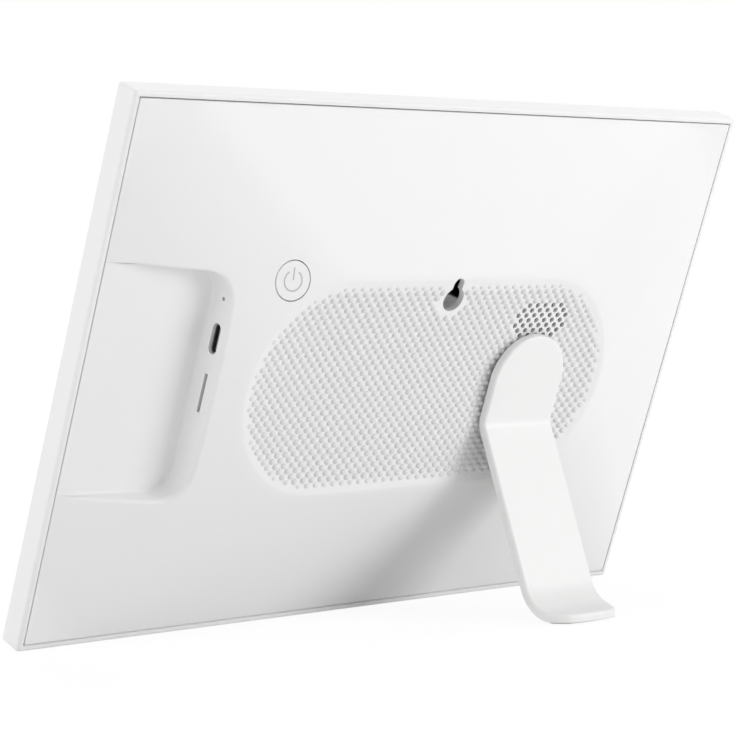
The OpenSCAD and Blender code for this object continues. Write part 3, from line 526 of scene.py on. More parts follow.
def round_loop(centre, r, steps):
    turns = [2 * math.pi * i / steps for i in range(steps)]
    return [(centre[0] + r * math.cos(a), centre[1] + r * math.sin(a)) for a in turns]


def recess_loop(grow):
    return grown_loop(RECESS_MIDDLE, RECESS_PLAN, grow, 1.6)


def dome_loop(t, grow, gap=2.0):
    return grown_loop((0, 0), dome_plan(t), grow, gap)


NEAR = 0.04  # a step of the inner face is carried by two lines, this far to each side of it
edge_loops = [grown_loop((0, 0), COVER_PLAN, -inset, 2.2) for inset in (0.0, 0.06, 0.16, 0.3)]
wall_loops = [recess_loop(at + side) for at in (0, RECESS_WALL) for side in (-WALL_HALF, WALL_HALF)]
boss_loops = [round_loop(PIVOT, r, 48) for r in (BOSS_R - NEAR, BOSS_R + NEAR)]
post_loops = [round_loop(p, r, 20) for p in BOARD_POSTS for r in (POST_R - NEAR, POST_R + NEAR)]
room_loops = [grown_loop((SPEAKER_X, SPEAKER_Y), SPEAKER_ROOM, g, 1.6) for g in (-NEAR, NEAR)]
kept_lines = edge_loops + wall_loops + boss_loops + post_loops + room_loops
soft_lines = [recess_loop(g) for g in (-2.1, -1.5, -0.9, -0.45, -0.15, 0.15, 0.35, 0.7, 1.1, 1.45)]
soft_lines += [dome_loop(0, g) for g in (-4, -2.8, -1.6, -0.6, 0.4, 1.4, 2.6)]
soft_lines += [dome_loop(1, g, 1.6) for g in (-1.6, -0.9, -0.4, 0.0, 0.5, 1.2, 2.2)]
print("lines kept:", len(kept_lines), "soft lines:", len(soft_lines))

# %% Triangulate the plan
GRID_STEP, GRID_HALF_W, GRID_HALF_H = 2.6, 121.5, 81
GAP_IN_LINES, GAP_TO_KEPT, GAP_TO_GRID, GAP_TO_EDGE = 0.16, 0.2, 1.1, 0.36


def thinned(points, taken, gap):
    """Keeps the points that are at least one gap from every point already taken."""
    cells = {}
    for p in taken:
        cells.setdefault((int(p[0] // gap), int(p[1] // gap)), []).append(p)
    kept = []
    for p in points:
        cx, cy = int(p[0] // gap), int(p[1] // gap)
        near = (q for i in (-1, 0, 1) for j in (-1, 0, 1) for q in cells.get((cx + i, cy + j), ()))
        if all((p[0] - q[0]) ** 2 + (p[1] - q[1]) ** 2 >= gap * gap for q in near):
            cells.setdefault((cx, cy), []).append(p)
            kept.append(p)
    return kept


def plan_mesh():
    verts, edges = [], []
    for loop in kept_lines:
        first = len(verts)
        verts += loop
        edges += [(first + i, first + (i + 1) % len(loop)) for i in range(len(loop))]
    free = thinned([p for loop in soft_lines for p in loop], [], GAP_IN_LINES)
    free = thinned(free, verts, GAP_TO_KEPT)
    grid = [(x, y) for i, y in enumerate(np.arange(-GRID_HALF_H, GRID_HALF_H + 0.1, GRID_STEP * 0.866))
            for x in np.arange(-GRID_HALF_W + (i % 2) * GRID_STEP / 2, GRID_HALF_W + 0.1, GRID_STEP)]
    free += thinned(grid, verts + free, GAP_TO_GRID)
    free = [p for p, d in zip(free, cover_distance(*np.array(free).T)) if d < -GAP_TO_EDGE]
    result = delaunay_2d_cdt([Vector(p) for p in verts + free], edges, [], 0, 1e-5)
    points = np.array([tuple(v) for v in result[0]])
    faces = np.array([tuple(f) for f in result[2]])
    centres = points[faces].mean(axis=1)
    faces = faces[cover_distance(*centres.T) < -1e-4]
    a, b, c = (points[faces[:, k]] for k in range(3))
    area = (b[:, 0] - a[:, 0]) * (c[:, 1] - a[:, 1]) - (b[:, 1] - a[:, 1]) * (c[:, 0] - a[:, 0])
    faces[area < 0] = faces[area < 0][:, ::-1]
    used = np.unique(faces)
    index = np.full(len(points), -1)
    index[used] = np.arange(len(used))
    return points[used], index[faces]


plan, plan_faces = plan_mesh()
print("plan:", len(plan), "points", len(plan_faces), "triangles")

# %% Close the shell
def rim_edges(faces):
    """Edges that only one triangle uses, in that triangle's direction."""
    directed = {(int(f[k]), int(f[(k + 1) % 3])) for f in faces for k in range(3)}
    return [(a, b) for a, b in directed if (b, a) not in directed]


def marker(name):
    return bpy.data.materials.new(name)


outer_mark, inner_mark, cut_mark = marker("outer"), marker("inner"), marker("cut")
outer_z = outer_height(plan[:, 0], plan[:, 1])
inner_z = inner_height(plan[:, 0], plan[:, 1])
count = len(plan)
shell_points = np.vstack([np.column_stack([plan, outer_z]), np.column_stack([plan, inner_z])])
shell_faces = [tuple(f) for f in plan_faces] + [tuple(f[::-1] + count) for f in plan_faces]
rim = rim_edges(plan_faces)
shell_faces += [(b, a, a + count, b + count) for a, b in rim]
cover = make_piece("cover_shell", shell_points, shell_faces, outer_mark)
cover.data.materials.append(inner_mark)
cover.data.materials.append(cut_mark)
marks = np.zeros(len(shell_faces), np.int32)
marks[len(plan_faces):] = 1
cover.data.polygons.foreach_set("material_index", marks)
print("shell thickness: least", round(float((outer_z - inner_z).min()), 2), "mm; rim edges", len(rim))

# %% [markdown]
# ### Holes in the cover
#
# The cover has a keyhole, a bore for the hub, a round hole for the button, three
# openings for the sockets and a field of speaker holes. Each is cut with a
# Boolean modifier, as a drill or a mould core would leave it. The 42 speaker
# holes stand on a lattice turned by 45 degrees, so a Geometry Nodes tree places
# their cutters, and its inputs are the pitch, the radius and the reach.

# %% Geometry Nodes trees
class Tree(Net):
    """A Geometry Nodes tree whose inputs are named sizes."""

    def __init__(self, name, sizes):
        super().__init__(bpy.data.node_groups.new(name, "GeometryNodeTree"))
        self.sizes = sizes
        new_socket = self.tree.interface.new_socket
        for label, value in sizes.items():
            new_socket(name=label, in_out="INPUT", socket_type="NodeSocketFloat").default_value = value
        new_socket(name="Geometry", in_out="OUTPUT", socket_type="NodeSocketGeometry")
        self.given = self.node("NodeGroupInput").outputs
        self.made = self.node("NodeGroupOutput")

    def shape(self, kind, values, **settings):
        return self.node("GeometryNode" + kind, values, **settings).outputs[0]

    def vector(self, x, y, z):
        return self.node("ShaderNodeCombineXYZ", {0: x, 1: y, 2: z}).outputs[0]

    def position(self):
        return self.node("ShaderNodeSeparateXYZ", {0: self.shape("InputPosition", {})}).outputs[:2]

    def length(self, x, y):
        return self.math("SQRT", self.add(self.times(x, x), self.times(y, y)))

    def grown(self, points, removed, copy, material, **places):
        """The copy on every point that is left, as a plain mesh."""
        kept = self.shape("DeleteGeometry", {"Geometry": points, "Selection": removed}, domain="POINT")
        if "Position" in places:
            kept = self.shape("SetPosition", {"Geometry": kept, "Position": places.pop("Position")})
        copies = self.shape("InstanceOnPoints", {"Points": kept, "Instance": copy, **places})
        real = self.shape("RealizeInstances", {"Geometry": copies})
        shaded = self.shape("SetShadeSmooth", {"Geometry": real, "Shade Smooth": True})
        self.fill(self.made, {0: self.shape("SetMaterial", {"Geometry": shaded, "Material": material})})
        host = added("host", bpy.data.meshes.new("host"))
        modifier = host.modifiers.new("grow", "NODES")
        modifier.node_group = self.tree
        for item in self.tree.interface.items_tree:
            if item.item_type == "SOCKET" and item.in_out == "INPUT":
                modifier[item.identifier] = self.sizes[item.name]
        graph = bpy.context.evaluated_depsgraph_get()
        mesh = bpy.data.meshes.new_from_object(host.evaluated_get(graph))
        bpy.data.objects.remove(host)
        return mesh


# %% The turned lattice that holes and bumps share
PITCH = 3.5
LATTICE_AT = (SPEAKER_X + PITCH / 2, SPEAKER_Y, 0.0)
SPEAKER_SPAN, SPEAKER_ROWS = 3.45, 3.4  # reach of the speaker's holes, in pitches and in rows


def lattice_points(net, count):
    """A square grid turned by 45 degrees, its points one pitch apart along x."""
    side = net.times(net.math("DIVIDE", net.given["Pitch"], math.sqrt(2)), float(count - 1))
    grid = net.shape("MeshGrid", {"Size X": side, "Size Y": side, "Vertices X": count, "Vertices Y": count})
    turned = net.shape("Transform", {"Geometry": grid, "Rotation": (0, 0, math.pi / 4),
                                     "Translation": LATTICE_AT})
    return net.shape("MeshToPoints", {"Mesh": turned})


def speaker_place(net, x, y):
    """How far a lattice point is from the middle of the speaker, across and in rows."""
    pitch = net.given["Pitch"]
    across = net.math("DIVIDE", net.math("ABSOLUTE", net.less(x, SPEAKER_X)), pitch)
    rows = net.math("DIVIDE", net.math("ABSOLUTE", net.less(y, SPEAKER_Y)), net.times(pitch, 0.5))
    return net.math("MULTIPLY_ADD", rows, 0.4, across), rows


# %% Cutters for the speaker holes
def speaker_cutters():
    net = Tree("speaker hole cutters", {"Pitch": PITCH, "Radius": 0.9, "Reach": 6.0})
    inside, rows = speaker_place(net, *net.position())
    outside = net.add(net.over(inside, SPEAKER_SPAN), net.over(rows, SPEAKER_ROWS))
    drill = net.shape("MeshCylinder", {"Vertices": 20, "Radius": net.given["Radius"],
                                       "Depth": net.given["Reach"]})
    lifted = net.shape("Transform", {"Geometry": drill, "Translation": (0, 0, DISH_FLOOR)})
    return net.grown(lattice_points(net, 21), outside, lifted, cut_mark)


speaker_mesh = speaker_cutters()
print("speaker cutters:", len(speaker_mesh.vertices) // 40)

# %% Cutters for the other openings
KEY_Y, KEY_R, KEY_SLOT_W, KEY_SLOT_LEN = 27.5, 4.0, 4.0, 5.2
PORT_Z, USB_Y, CARD_Y, RESET_Y = 7.6, 14.6, -2.1, 26.7
USB_W, USB_H, CARD_W, CARD_H, RESET_R = 9.3, 3.52, 12.0, 1.3, 0.6
HUB_BORE_R = 7.06
BUTTON_R, BUTTON_GAP, BUTTON_ANGLE, BUTTON_DROP = 5.85, 0.3, math.radians(124), 0.11


def keyhole_outline(entry_steps=28, slot_steps=12):
    """The round entry and the slot above it, as one loop."""
    half = KEY_SLOT_W / 2
    meet = math.asin(half / KEY_R)
    loop = []
    for i in range(entry_steps + 1):
        a = math.pi / 2 + meet + (2 * math.pi - 2 * meet) * i / entry_steps
        loop.append((KEY_R * math.cos(a), KEY_Y + KEY_R * math.sin(a)))
    for i in range(slot_steps + 1):
        a = math.pi * i / slot_steps
        loop.append((half * math.cos(a), KEY_Y + KEY_SLOT_LEN + half * math.sin(a)))
    return loop


def prism(loop, low, high, place=Matrix.Identity(4)):
    """Points and faces of a straight-sided solid on a loop, put in its place."""
    n = len(loop)
    points = [place @ Vector((x, y, z)) for z in (low, high) for x, y in loop]
    faces = [tuple(range(n - 1, -1, -1)), tuple(range(n, 2 * n))]
    faces += [(i, (i + 1) % n, n + (i + 1) % n, n + i) for i in range(n)]
    return points, faces


run = (DOME_W / 2 - SHOULDER_R - PAD_HALF) * -math.cos(BUTTON_ANGLE)
run += (DOME_HALF_H - SHOULDER_R) * math.sin(BUTTON_ANGLE) + SHOULDER_R - PAD_R
BUTTON_TILT = math.atan(DOME_H / run)
mid_r = PAD_R + (SHOULDER_R - PAD_R) * BUTTON_DROP
shoulder_shift = (PAD_HALF - (DOME_W / 2 - SHOULDER_R)) * BUTTON_DROP
BUTTON_AT = Vector((-PAD_HALF + shoulder_shift + mid_r * math.cos(BUTTON_ANGLE),
                    (DOME_HALF_H - SHOULDER_R) * BUTTON_DROP + mid_r * math.sin(BUTTON_ANGLE),
                    DOME_H * (1 - BUTTON_DROP)))
AT_BUTTON = (Matrix.Translation(BUTTON_AT) @ Matrix.Rotation(BUTTON_ANGLE, 4, "Z")
             @ Matrix.Rotation(BUTTON_TILT, 4, "Y"))
INTO_WALL = Matrix(((0, 0, 1, 0), (1, 0, 0, 0), (0, 1, 0, 0), (0, 0, 0, 1)))
through = (RECESS_X - 1, RECESS_X + RECESS_WALL + 1.2)
cutters = [
    prism(keyhole_outline(), 9.2, 17),
    prism(round_loop(PIVOT, HUB_BORE_R, 64), 5, 15),
    prism(round_loop((0, 0), BUTTON_R + BUTTON_GAP, 64), -4, 3, AT_BUTTON),
    prism(rounded_loop((USB_Y, PORT_Z), USB_W / 2, USB_H / 2, USB_H / 2 - 0.001, 0.3), *through, INTO_WALL),
    prism(rounded_loop((CARD_Y, PORT_Z), CARD_W / 2, CARD_H / 2, 0.15, 0.5), *through, INTO_WALL),
    prism(round_loop((RESET_Y, PORT_Z), RESET_R, 24), *through, INTO_WALL),
]
print("button at", [round(v, 2) for v in BUTTON_AT], "tilt", round(math.degrees(BUTTON_TILT), 2))

# %% Cut the openings
def joined(parts):
    """Several sets of points and faces as one."""
    points, faces = [], []
    for more_points, more_faces in parts:
        first = len(points)
        points += [tuple(p) for p in more_points]
        faces += [tuple(first + i for i in f) for f in more_faces]
    return points, faces


def cut(piece, tool):
    modifier = piece.modifiers.new("openings", "BOOLEAN")
    modifier.operation = "DIFFERENCE"
    modifier.solver = "EXACT"
    modifier.material_mode = "TRANSFER"
    modifier.object = tool
    graph = bpy.context.evaluated_depsgraph_get()
    mesh = bpy.data.meshes.new_from_object(piece.evaluated_get(graph))
    piece.modifiers.remove(modifier)
    bpy.data.objects.remove(tool)
    return mesh


speaker_part = [v.co for v in speaker_mesh.vertices], [p.vertices for p in speaker_mesh.polygons]
before = len(cover.data.polygons)
cut_mesh = cut(cover, make_piece("cutters", *joined([speaker_part] + cutters), cut_mark, sharp=True))
print("cover faces:", before, "->", len(cut_mesh.polygons), [m.name for m in cut_mesh.materials])

# %% [markdown]
# ### Smooth light on the cover
#
# The triangles only sample the surface. Its true normals come from the height
# function itself, so the light runs over the slopes as on a moulded part. A point
# on a crease belongs to the face it is asked for: the function is read a little
# way into that face.

# %% Normals from the height function
def height_normals(points_xy, height, side, step=0.02):
    x, y = points_xy[:, 0], points_xy[:, 1]
    dx = (height(x + step, y) - height(x - step, y)) / (2 * step)
    dy = (height(x, y + step) - height(x, y - step)) / (2 * step)
    normals = np.column_stack([-dx, -dy, np.ones_like(dx)]) * side
    return normals / np.linalg.norm(normals, axis=1, keepdims=True)


def true_normals(mesh):
    """One normal per face corner: from the heights on the shell, flat on the cuts."""
    back = np.array(CASE.inverted())
    points = np.array([tuple(v.co) for v in mesh.vertices]) @ back[:3, :3].T + back[:3, 3]
    loops = np.array([loop.vertex_index for loop in mesh.loops])
    face_of = np.concatenate([np.full(p.loop_total, p.index) for p in mesh.polygons])
    centres = np.array([tuple(p.center) for p in mesh.polygons]) @ back[:3, :3].T + back[:3, 3]
    flat = np.array([tuple(p.normal) for p in mesh.polygons])
    names = [m.name for m in mesh.materials]
    kind = np.array([names[p.material_index] for p in mesh.polygons])[face_of]
    normals = flat[face_of]
    corner = points[loops] + 0.12 * (centres[face_of] - points[loops])
    for name, height, side in (("outer", outer_height, 1), ("inner", inner_height, -1)):
        chosen = kind == name
        found = to_row_directions(height_normals(corner[chosen, :2], height, side))
        rim = np.abs(flat[face_of][chosen] @ to_row_directions([[0, 0, 1]])[0]) < 0.02
        agree = (found * flat[face_of][chosen]).sum(axis=1) > 0.5
        normals[chosen] = np.where((agree & ~(rim & (name == "inner")))[:, None], found, normals[chosen])
    return normals


cover_normals = true_normals(cut_mesh)
cut_mesh.materials.clear()
cut_mesh.materials.append(finishes["white_cover"])
for polygon in cut_mesh.polygons:
    polygon.material_index = 0
cut_mesh.shade_smooth()
cut_mesh.normals_split_custom_set([tuple(n) for n in cover_normals])
cover.data = cut_mesh
finish_piece(cover, "frame", "white_cover", "back_cover")

# %% [markdown]
# ## The bumps of the pad
#
# The sunk pad is covered with small low domes in the mould, which give grip when
# the frame is carried. They stand on the same turned lattice as the speaker
# holes, lie along the dish, and leave a smooth band at its edge, a ring round the
# keyhole and the seat of the stand. Well over a thousand copies of one small
# dome are a task for Geometry Nodes: a point for each dome, a field that deletes
# the ones which have no room, and one instance on each point that is left.

# %% Grow the bumps
BUMP_ALONG, BUMP_ACROSS, BUMP_HALF_H = 1.12, 0.9, 1.2  # a dome's shares of its radius, and its half height
FADE_W, FADE_SLOPE, FADE_MOST = 4.4, 0.28, 0.45  # the domes sink into the dish near its edge


def pad_bumps():
    net = Tree("pad bumps", {"Pitch": PITCH, "Radius": 1.2, "Rise": 0.85, "Border": 2.3,
                             "Keyhole ring": 1.6, "Seat": 13.4})
    given, ring = net.given, net.given["Keyhole ring"]
    x, y = net.position()
    along = net.length(net.most(net.less(net.math("ABSOLUTE", x), PAD_HALF), 0.0), y)
    slot_y = net.less(y, net.least(net.most(y, KEY_Y), KEY_Y + KEY_SLOT_LEN))
    inside, rows = speaker_place(net, x, y)
    gone = net.over(along, net.less(PAD_R, given["Border"]))
    for reason in (net.under(net.length(x, net.less(y, KEY_Y)), net.add(ring, KEY_R)),
                   net.under(net.length(x, slot_y), net.add(ring, KEY_SLOT_W / 2 - 0.4)),
                   net.under(net.length(net.less(x, PIVOT[0]), net.less(y, PIVOT[1])), given["Seat"]),
                   net.times(net.under(inside, SPEAKER_SPAN), net.under(rows, SPEAKER_ROWS))):
        gone = net.most(gone, reason)
    drop = net.math("SQRT", net.less(DISH_R ** 2, net.times(along, along)))
    fade = net.least(net.most(net.times(net.less(along, PAD_R - FADE_W), FADE_SLOPE), 0.0), FADE_MOST)
    sunk = net.less(net.less(given["Rise"], BUMP_HALF_H), fade)
    height = net.add(net.less(DISH_FLOOR + DISH_R, drop), sunk)
    centre_x = net.least(net.most(x, -PAD_HALF), PAD_HALF)
    up = net.vector(net.less(centre_x, x), net.times(y, -1.0), drop)
    turn = net.node("FunctionNodeAlignRotationToVector", {"Vector": up}, axis="Z").outputs[0]
    ball = net.shape("MeshIcoSphere", {"Radius": 1.0, "Subdivisions": 2})
    half_along, half_across = (net.times(given["Radius"], share) for share in (BUMP_ALONG, BUMP_ACROSS))
    size = net.vector(half_along, half_across, BUMP_HALF_H)
    dome = net.shape("Transform", {"Geometry": ball, "Scale": size})
    return net.grown(lattice_points(net, 91), gone, dome, finishes["bumps_painted_shade"],
                     Position=net.vector(x, y, height), Rotation=turn)


bump_mesh = pad_bumps()
bump_mesh.transform(CASE)
bumps = added("pad_bumps", bump_mesh)
finish_piece(bumps, "frame", "white_cover")
print("bumps:", len(bump_mesh.vertices) // 42)

# %% [markdown]
# ## The stand
#
# The stand is a thick moulded strap: a round top over the swivel, a bend that
# takes it away from the case, a straight leg, and a long curve into the foot with
# a bowed end. A strap is easiest to draw unrolled, as a flat plate with its edges
# rounded, which is then bent along its side view. Every point keeps its place
# along the strap, across it and through its thickness, so the bends stay true
# circles, and the normals are known exactly.

# %% Side view of the strap
STRAP_W, STRAP_T, STRAP_Z = 30.4, 2.7, 13.5
BEND_Y, BEND_R, FOOT_BEND_R, FOOT_LEN = 12.8, 4.0, 14.0, 4.8
PAD_PROUD = 0.4
BEND = LEAN + math.radians(20.5)


def level_up(p):
    return (p[0] + FRAME_H / 2) * math.cos(LEAN) - p[1] * math.sin(LEAN) - edge_drop


leg_dir = np.array([-math.cos(BEND), math.sin(BEND)])
leg_normal = np.array([math.sin(BEND), math.cos(BEND)])
level_dir = np.array([math.sin(LEAN), math.cos(LEAN)])
up_dir = np.array([math.cos(LEAN), -math.sin(LEAN)])
bend_centre = np.array([-BEND_Y, STRAP_Z + STRAP_T + BEND_R])
leg_top = bend_centre - (BEND_R + STRAP_T) * leg_normal
leg_drop = level_up(leg_top) + FOOT_BEND_R * math.sin(BEND - LEAN) - FOOT_BEND_R - PAD_PROUD
leg_len = leg_drop / math.cos(BEND - LEAN)
foot_centre = leg_top + leg_len * leg_dir + FOOT_BEND_R * leg_normal
foot_start = foot_centre - FOOT_BEND_R * up_dir
FIRST_TURN, SECOND_TURN = BEND, math.pi / 2 - BEND + LEAN
lengths = np.cumsum([STRAP_W / 2 + BEND_Y, (BEND_R + STRAP_T) * FIRST_TURN, leg_len,
                     FOOT_BEND_R * SECOND_TURN, FOOT_LEN])
print("strap unrolled:", lengths.round(2), "leg", round(leg_len, 2))


def bent(s, w):
    """Place (y, z) and the direction through the thickness for a point s along and w through the strap."""
    s0, s1, s2, s3, _ = lengths
    if s <= s0:
        return np.array([STRAP_W / 2 - s, STRAP_Z + w]), np.array([0.0, 1.0])
    if s <= s1:
        a = 1.5 * math.pi - (s - s0) / (BEND_R + STRAP_T)
        out = np.array([math.cos(a), math.sin(a)])
        return bend_centre + (BEND_R + STRAP_T - w) * out, -out
    if s <= s2:
        return leg_top + (s - s1) * leg_dir + w * leg_normal, leg_normal
    if s <= s3:
        a = 1.5 * math.pi - BEND - (s - s2) / FOOT_BEND_R
        out = np.array([math.cos(a), math.sin(a)])
        return foot_centre + (FOOT_BEND_R - w) * out, -out
    return foot_start + (s - s3) * level_dir + w * up_dir, up_dir


# %% Outline of the unrolled strap
FOOT_BOW_R, FOOT_CORNER_R = 50.0, 10.0


def foot_width(back):
    """Half the foot's width at a distance from its end, with the bowed end and round corners."""
    half = STRAP_W / 2
    if back < FOOT_CORNER_R:
        half += math.sqrt(FOOT_CORNER_R ** 2 - (FOOT_CORNER_R - back) ** 2) - FOOT_CORNER_R
    bow = math.sqrt(max(FOOT_BOW_R ** 2 - (FOOT_BOW_R - back) ** 2, 0))
    return min(half, bow)


def strap_outline():
    """Half of the outline as (across, along), from the round top to the middle of the foot's end."""
    end, half = lengths[-1], STRAP_W / 2
    side = [(half * math.sin(a), half - half * math.cos(a)) for a in np.linspace(0, math.pi / 2, 25)]
    side += [(half, s) for s in np.arange(half + 1.2, end - FOOT_CORNER_R - 0.6, 1.2)]
    backs = [FOOT_CORNER_R * (1 - math.sin(a)) for a in np.linspace(0, math.pi / 2 * 0.8, 12)]
    side += [(foot_width(b), end - b) for b in backs]
    for u in np.linspace(side[-1][0], 0, 9)[1:]:
        side.append((u, end - (FOOT_BOW_R - math.sqrt(FOOT_BOW_R ** 2 - u * u))))
    return side


half_line = strap_outline()
outline = np.array(half_line + [(-u, s) for u, s in half_line[-2:0:-1]])
print("strap outline:", len(outline), "points")

# %% Bend the plate into the strap
EDGE_UP, EDGE_DOWN = 0.9, 0.4
INNER_COLUMNS = (-9.6, -4.8, 0.0, 4.8, 9.6)
INNER_MARGIN = 2


def outline_normals(loop):
    along = np.roll(loop, -1, axis=0) - np.roll(loop, 1, axis=0)
    out = np.column_stack([along[:, 1], -along[:, 0]])
    out /= np.linalg.norm(out, axis=1, keepdims=True)
    middle = loop.mean(axis=0)
    if ((loop - middle) * out).sum() < 0:
        out = -out
    return out


def well_inside(u, s):
    """Whether a point of the unrolled strap is far enough from its outline."""
    half = STRAP_W / 2
    clear_of_top = s >= half or math.hypot(u, half - s) <= half - INNER_MARGIN
    return clear_of_top and foot_width(lengths[-1] - s) - abs(u) > INNER_MARGIN


def strap_mesh():
    out = outline_normals(outline)
    rings = []
    for a in np.linspace(math.pi / 2, 0, 4):
        c, s = math.cos(a), math.sin(a)
        rings.append((EDGE_DOWN * (1 - c), EDGE_DOWN * (1 - s), (c, -s)))
    for a in np.linspace(0, math.pi / 2, 5):
        c, s = math.cos(a), math.sin(a)
        rings.append((EDGE_UP * (1 - c), STRAP_T - EDGE_UP * (1 - s), (c, s)))
    flat_points, tilts = [], []
    for inset, w, tilt in rings:
        loop = outline - inset * out
        flat_points += [(u, s, w) for u, s in loop]
        tilts += [(tilt[0] * nu, tilt[0] * ns, tilt[1]) for nu, ns in out]
    n = len(outline)
    faces = [(r * n + i, (r + 1) * n + i, (r + 1) * n + (i + 1) % n, r * n + (i + 1) % n)
             for r in range(len(rings) - 1) for i in range(n)]
    inner = [(u, s) for s in np.arange(1.0, lengths[-1], 1.0) for u in INNER_COLUMNS if well_inside(u, s)]
    for ring, w, way in ((0, 0.0, -1), (len(rings) - 1, STRAP_T, 1)):
        border = [flat_points[ring * n + i][:2] for i in range(n)]
        edges = [(i, (i + 1) % n) for i in range(n)]
        found = delaunay_2d_cdt([Vector(p) for p in border + inner], edges, [], 1, 1e-6)
        first = len(flat_points)
        flat_points += [(u, s, w) for u, s in inner]
        tilts += [(0, 0, way)] * len(inner)
        for f in found[2]:
            ids = [found[3][i][0] for i in f]
            a, b, c = (np.array(found[0][i]) for i in f)
            ids = [ring * n + i if i < n else first + i - n for i in ids]
            clockwise = (b[0] - a[0]) * (c[1] - a[1]) - (b[1] - a[1]) * (c[0] - a[0]) < 0
            faces.append(tuple(ids if clockwise == (way > 0) else ids[::-1]))
    points, normals = [], []
    for (u, s, w), (nu, ns, nw) in zip(flat_points, tilts):
        (y, z), thick = bent(s, w)
        forward = np.array([-thick[1], thick[0]])
        points.append((PIVOT[0] + u, y, z))
        normals.append((nu, ns * forward[0] + nw * thick[0], ns * forward[1] + nw * thick[1]))
    return points, faces, normals


strap_points, strap_faces, strap_normals = strap_mesh()
strap = make_piece("stand_strap", strap_points, strap_faces, finishes["white_stand"], strap_normals)
finish_piece(strap, "stand", "white_stand", "stand_arm")
print("strap box:", np.array(strap_points).min(axis=0).round(2), np.array(strap_points).max(axis=0).round(2))

# %% [markdown]
# ## The power symbol
#
# The button carries the usual broken ring and bar in pale grey print. Ink is a
# film, so it is built as a real one: closed shapes four hundredths of a
# millimetre thick that lie on the cap and ride with it. A painted texture would
# need its own map for the same few strokes.

# %% Strokes of the symbol
SYMBOL_R, STROKE = 3.0, 0.45
INK_LOW, INK_HIGH = -0.01, 0.03


def stroke(line):
    """A closed ribbon of ink along a line of points in the plane of the cap."""
    line = np.array(line, float)
    ahead = np.gradient(line, axis=0)
    side = np.column_stack([-ahead[:, 1], ahead[:, 0]])
    side /= np.linalg.norm(side, axis=1, keepdims=True)
    edge = side * STROKE / 2
    loop = [tuple(p) for p in line - edge] + [tuple(p) for p in (line + edge)[::-1]]
    return prism(loop, INK_LOW, INK_HIGH, AT_BUTTON)


up_angle = math.pi / 2 - BUTTON_ANGLE
gap_half = math.radians(32)
ring = [(SYMBOL_R * math.cos(up_angle + a), SYMBOL_R * math.sin(up_angle + a))
        for a in np.linspace(gap_half, 2 * math.pi - gap_half, 49)]
bar = [(r * math.cos(up_angle), r * math.sin(up_angle)) for r in np.linspace(0.2, 3.9, 5)]
ink = joined([stroke(ring), stroke(bar)])
plastic("symbol_grey", (0.5, 0.5, 0.5), rough=0.5, depth_mm=0.001)
symbol = make_piece("power_symbol", *ink, finishes["symbol_grey"], sharp=True)
finish_piece(symbol, "power_button", "white_button")

# %% [markdown]
# ## The printed border behind the glass
#
# From the front the glass shows a black border round the lit area. It is ink on
# the back of the glass, so it is a thin frame of black film that lies just inside
# the sheet's rear face.

# %% Border ink
def frame_film(outer, inner, low, high):
    """A closed flat frame between two loops with the same number of points."""
    n = len(outer)
    points = [(x, y, z) for z in (low, high) for loop in (outer, inner) for x, y in loop]
    faces = []
    for i in range(n):
        j = (i + 1) % n
        faces += [(i, n + i, n + j, j), (2 * n + i, 2 * n + j, 3 * n + j, 3 * n + i),
                  (i, j, 2 * n + j, 2 * n + i), (n + i, 3 * n + i, 3 * n + j, n + j)]
    return points, faces


GLASS_W, GLASS_H, GLASS_T = 238.0, 156.9, 1.1
SCREEN_W, SCREEN_H = 217.0, 135.6
INK_SHORT, INK_T = 0.3, 0.02
film_back = -FRAME_DEPTH + GLASS_T - 0.01
film_rim = corner_points((0, 0), (GLASS_W - INK_SHORT) / 2, (GLASS_H - INK_SHORT) / 2, 2.8, 6)
film_window = corner_points((0, 0), SCREEN_W / 2, SCREEN_H / 2, 0.6, 6)
film = make_piece("glass_border_ink", *frame_film(film_rim, film_window, film_back - INK_T, film_back),
                  finishes["tape_black"], sharp=True)
finish_piece(film, "frame", "lens_glass")

# %% [markdown]
# ## Floor, light and camera
#
# The object stands on a pale floor in a white studio. The world is white where
# the camera, a mirror-like face or glass looks at it, and a softer grey where it
# only lights the object, so the white case keeps its shades. The main lamp stands
# low at the camera's right and rakes across the back, so the bumps and the slopes
# read clearly. A second one fills in from the left. A third hangs above the case,
# on the screen's side, so it lights the top wall and the floor, and not the back.

# %% Floor
FLOOR_HALF, FLOOR_Z = 2.5, -0.0002
floor_mesh = bpy.data.meshes.new("floor")
floor_mesh.from_pydata([(sx * FLOOR_HALF, sy * FLOOR_HALF, FLOOR_Z)
                        for sx, sy in ((-1, -1), (1, -1), (1, 1), (-1, 1))], [], [(0, 1, 2, 3)])
floor = added("floor", floor_mesh)


def seen_or_mirrored(net):
    """1 where the camera, a gloss reflection or a ray through glass meets the surface."""
    path = net.node("ShaderNodeLightPath").outputs
    return net.most(net.most(path["Is Camera Ray"], path["Is Glossy Ray"]), path["Is Transmission Ray"])


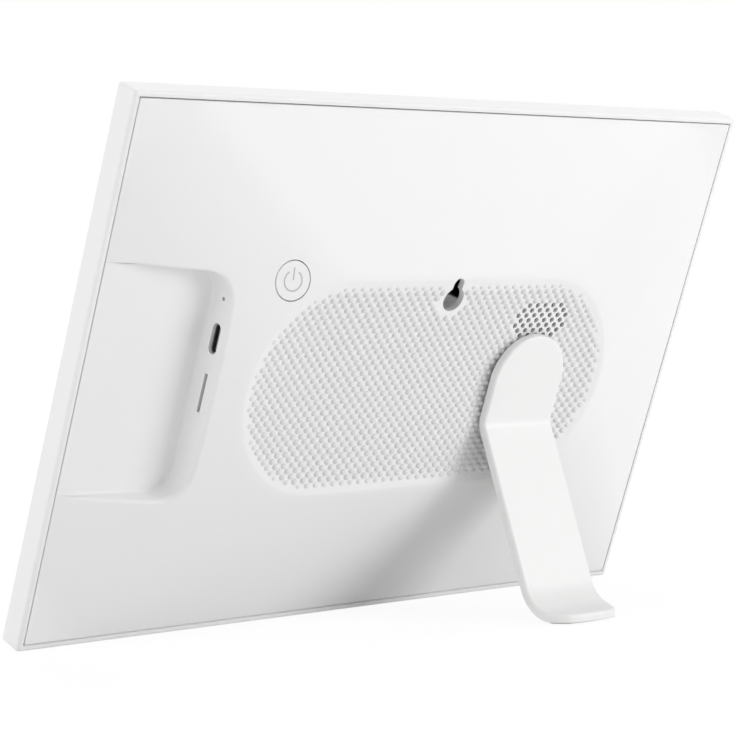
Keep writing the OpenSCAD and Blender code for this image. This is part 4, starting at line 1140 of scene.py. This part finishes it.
def floor_material():
    """Pale matt floor, lifted to white where it is seen, which keeps part of the object's shadow."""
    material, net, shader = new_material("floor_white")
    net.fill(shader, {"Base Color": (0.85, 0.85, 0.85, 1), "Roughness": 0.9, "Specular IOR Level": 0.1})
    glow = net.node("ShaderNodeEmission", {"Strength": 1.05}).outputs[0]
    away = net.node("ShaderNodeVectorMath", {0: net.place()}, operation="LENGTH").outputs["Value"]
    fade = net.ranged(away, from_min=0.25, from_max=0.9, to_min=0.86, to_max=1.0)
    share = net.times(seen_or_mirrored(net), fade)
    mix = net.node("ShaderNodeMixShader", {"Fac": share, 1: shader.outputs[0], 2: glow}).outputs[0]
    net.fill(net.tree.nodes["Material Output"], {"Surface": mix})
    return material


floor_mesh.materials.append(floor_material())

# %% World
world = bpy.data.worlds.new("studio")
scene.world = world
world.use_nodes = True
sky = Net(world.node_tree)
strength = sky.ranged(seen_or_mirrored(sky), to_min=0.48, to_max=1.0)
sky.fill(world.node_tree.nodes["Background"], {"Color": (1, 1, 1, 1), "Strength": strength})

# %% Camera
CAMERA_AT = Vector((0.5398, 0.6048 - set_back / 1000, 0.1193 - edge_drop / 1000))
FORWARD = Vector((-0.6728, -0.7381, -0.0511)).normalized()
lens = bpy.data.cameras.new("camera")
lens.lens, lens.sensor_width = 124.7, 36.0
lens.clip_start, lens.clip_end = 0.01, 20
camera = added("camera", lens)
right = FORWARD.cross(Vector((0, 0, 1))).normalized()
above = right.cross(FORWARD)
camera.matrix_world = Matrix.Translation(CAMERA_AT) @ Matrix((right, above, -FORWARD)).transposed().to_4x4()
scene.camera = camera
print("camera distance to the case:", round((CAMERA_AT - CASE @ Vector((0, 0, 0))).length, 3), "m")

# %% Lamps
def lamp(name, size, energy, offset, aim=(0, 0, 0.08)):
    """A soft square lamp. offset is (right, up, back) from the object as the camera sees it."""
    data = bpy.data.lights.new(name, "AREA")
    data.size, data.energy = size, energy
    thing = added(name, data)
    flat_right = Vector((right.x, right.y, 0)).normalized()
    flat_back = Vector((-FORWARD.x, -FORWARD.y, 0)).normalized()
    away = offset[0] * flat_right + Vector((0, 0, offset[1])) + offset[2] * flat_back
    place = Vector(aim) + away
    turn = (place - Vector(aim)).to_track_quat("Z", "Y").to_matrix().to_4x4()
    thing.matrix_world = Matrix.Translation(place) @ turn


lamp("key_right", 0.8, 11.6, (1.44, 0.2, 0.35))
lamp("fill_left", 0.9, 7.4, (-1.15, 0.45, 0.8))
lamp("top", 0.5, 7.0, (0.1, 1.45, -0.4))
scene.view_settings.view_transform = "Standard"
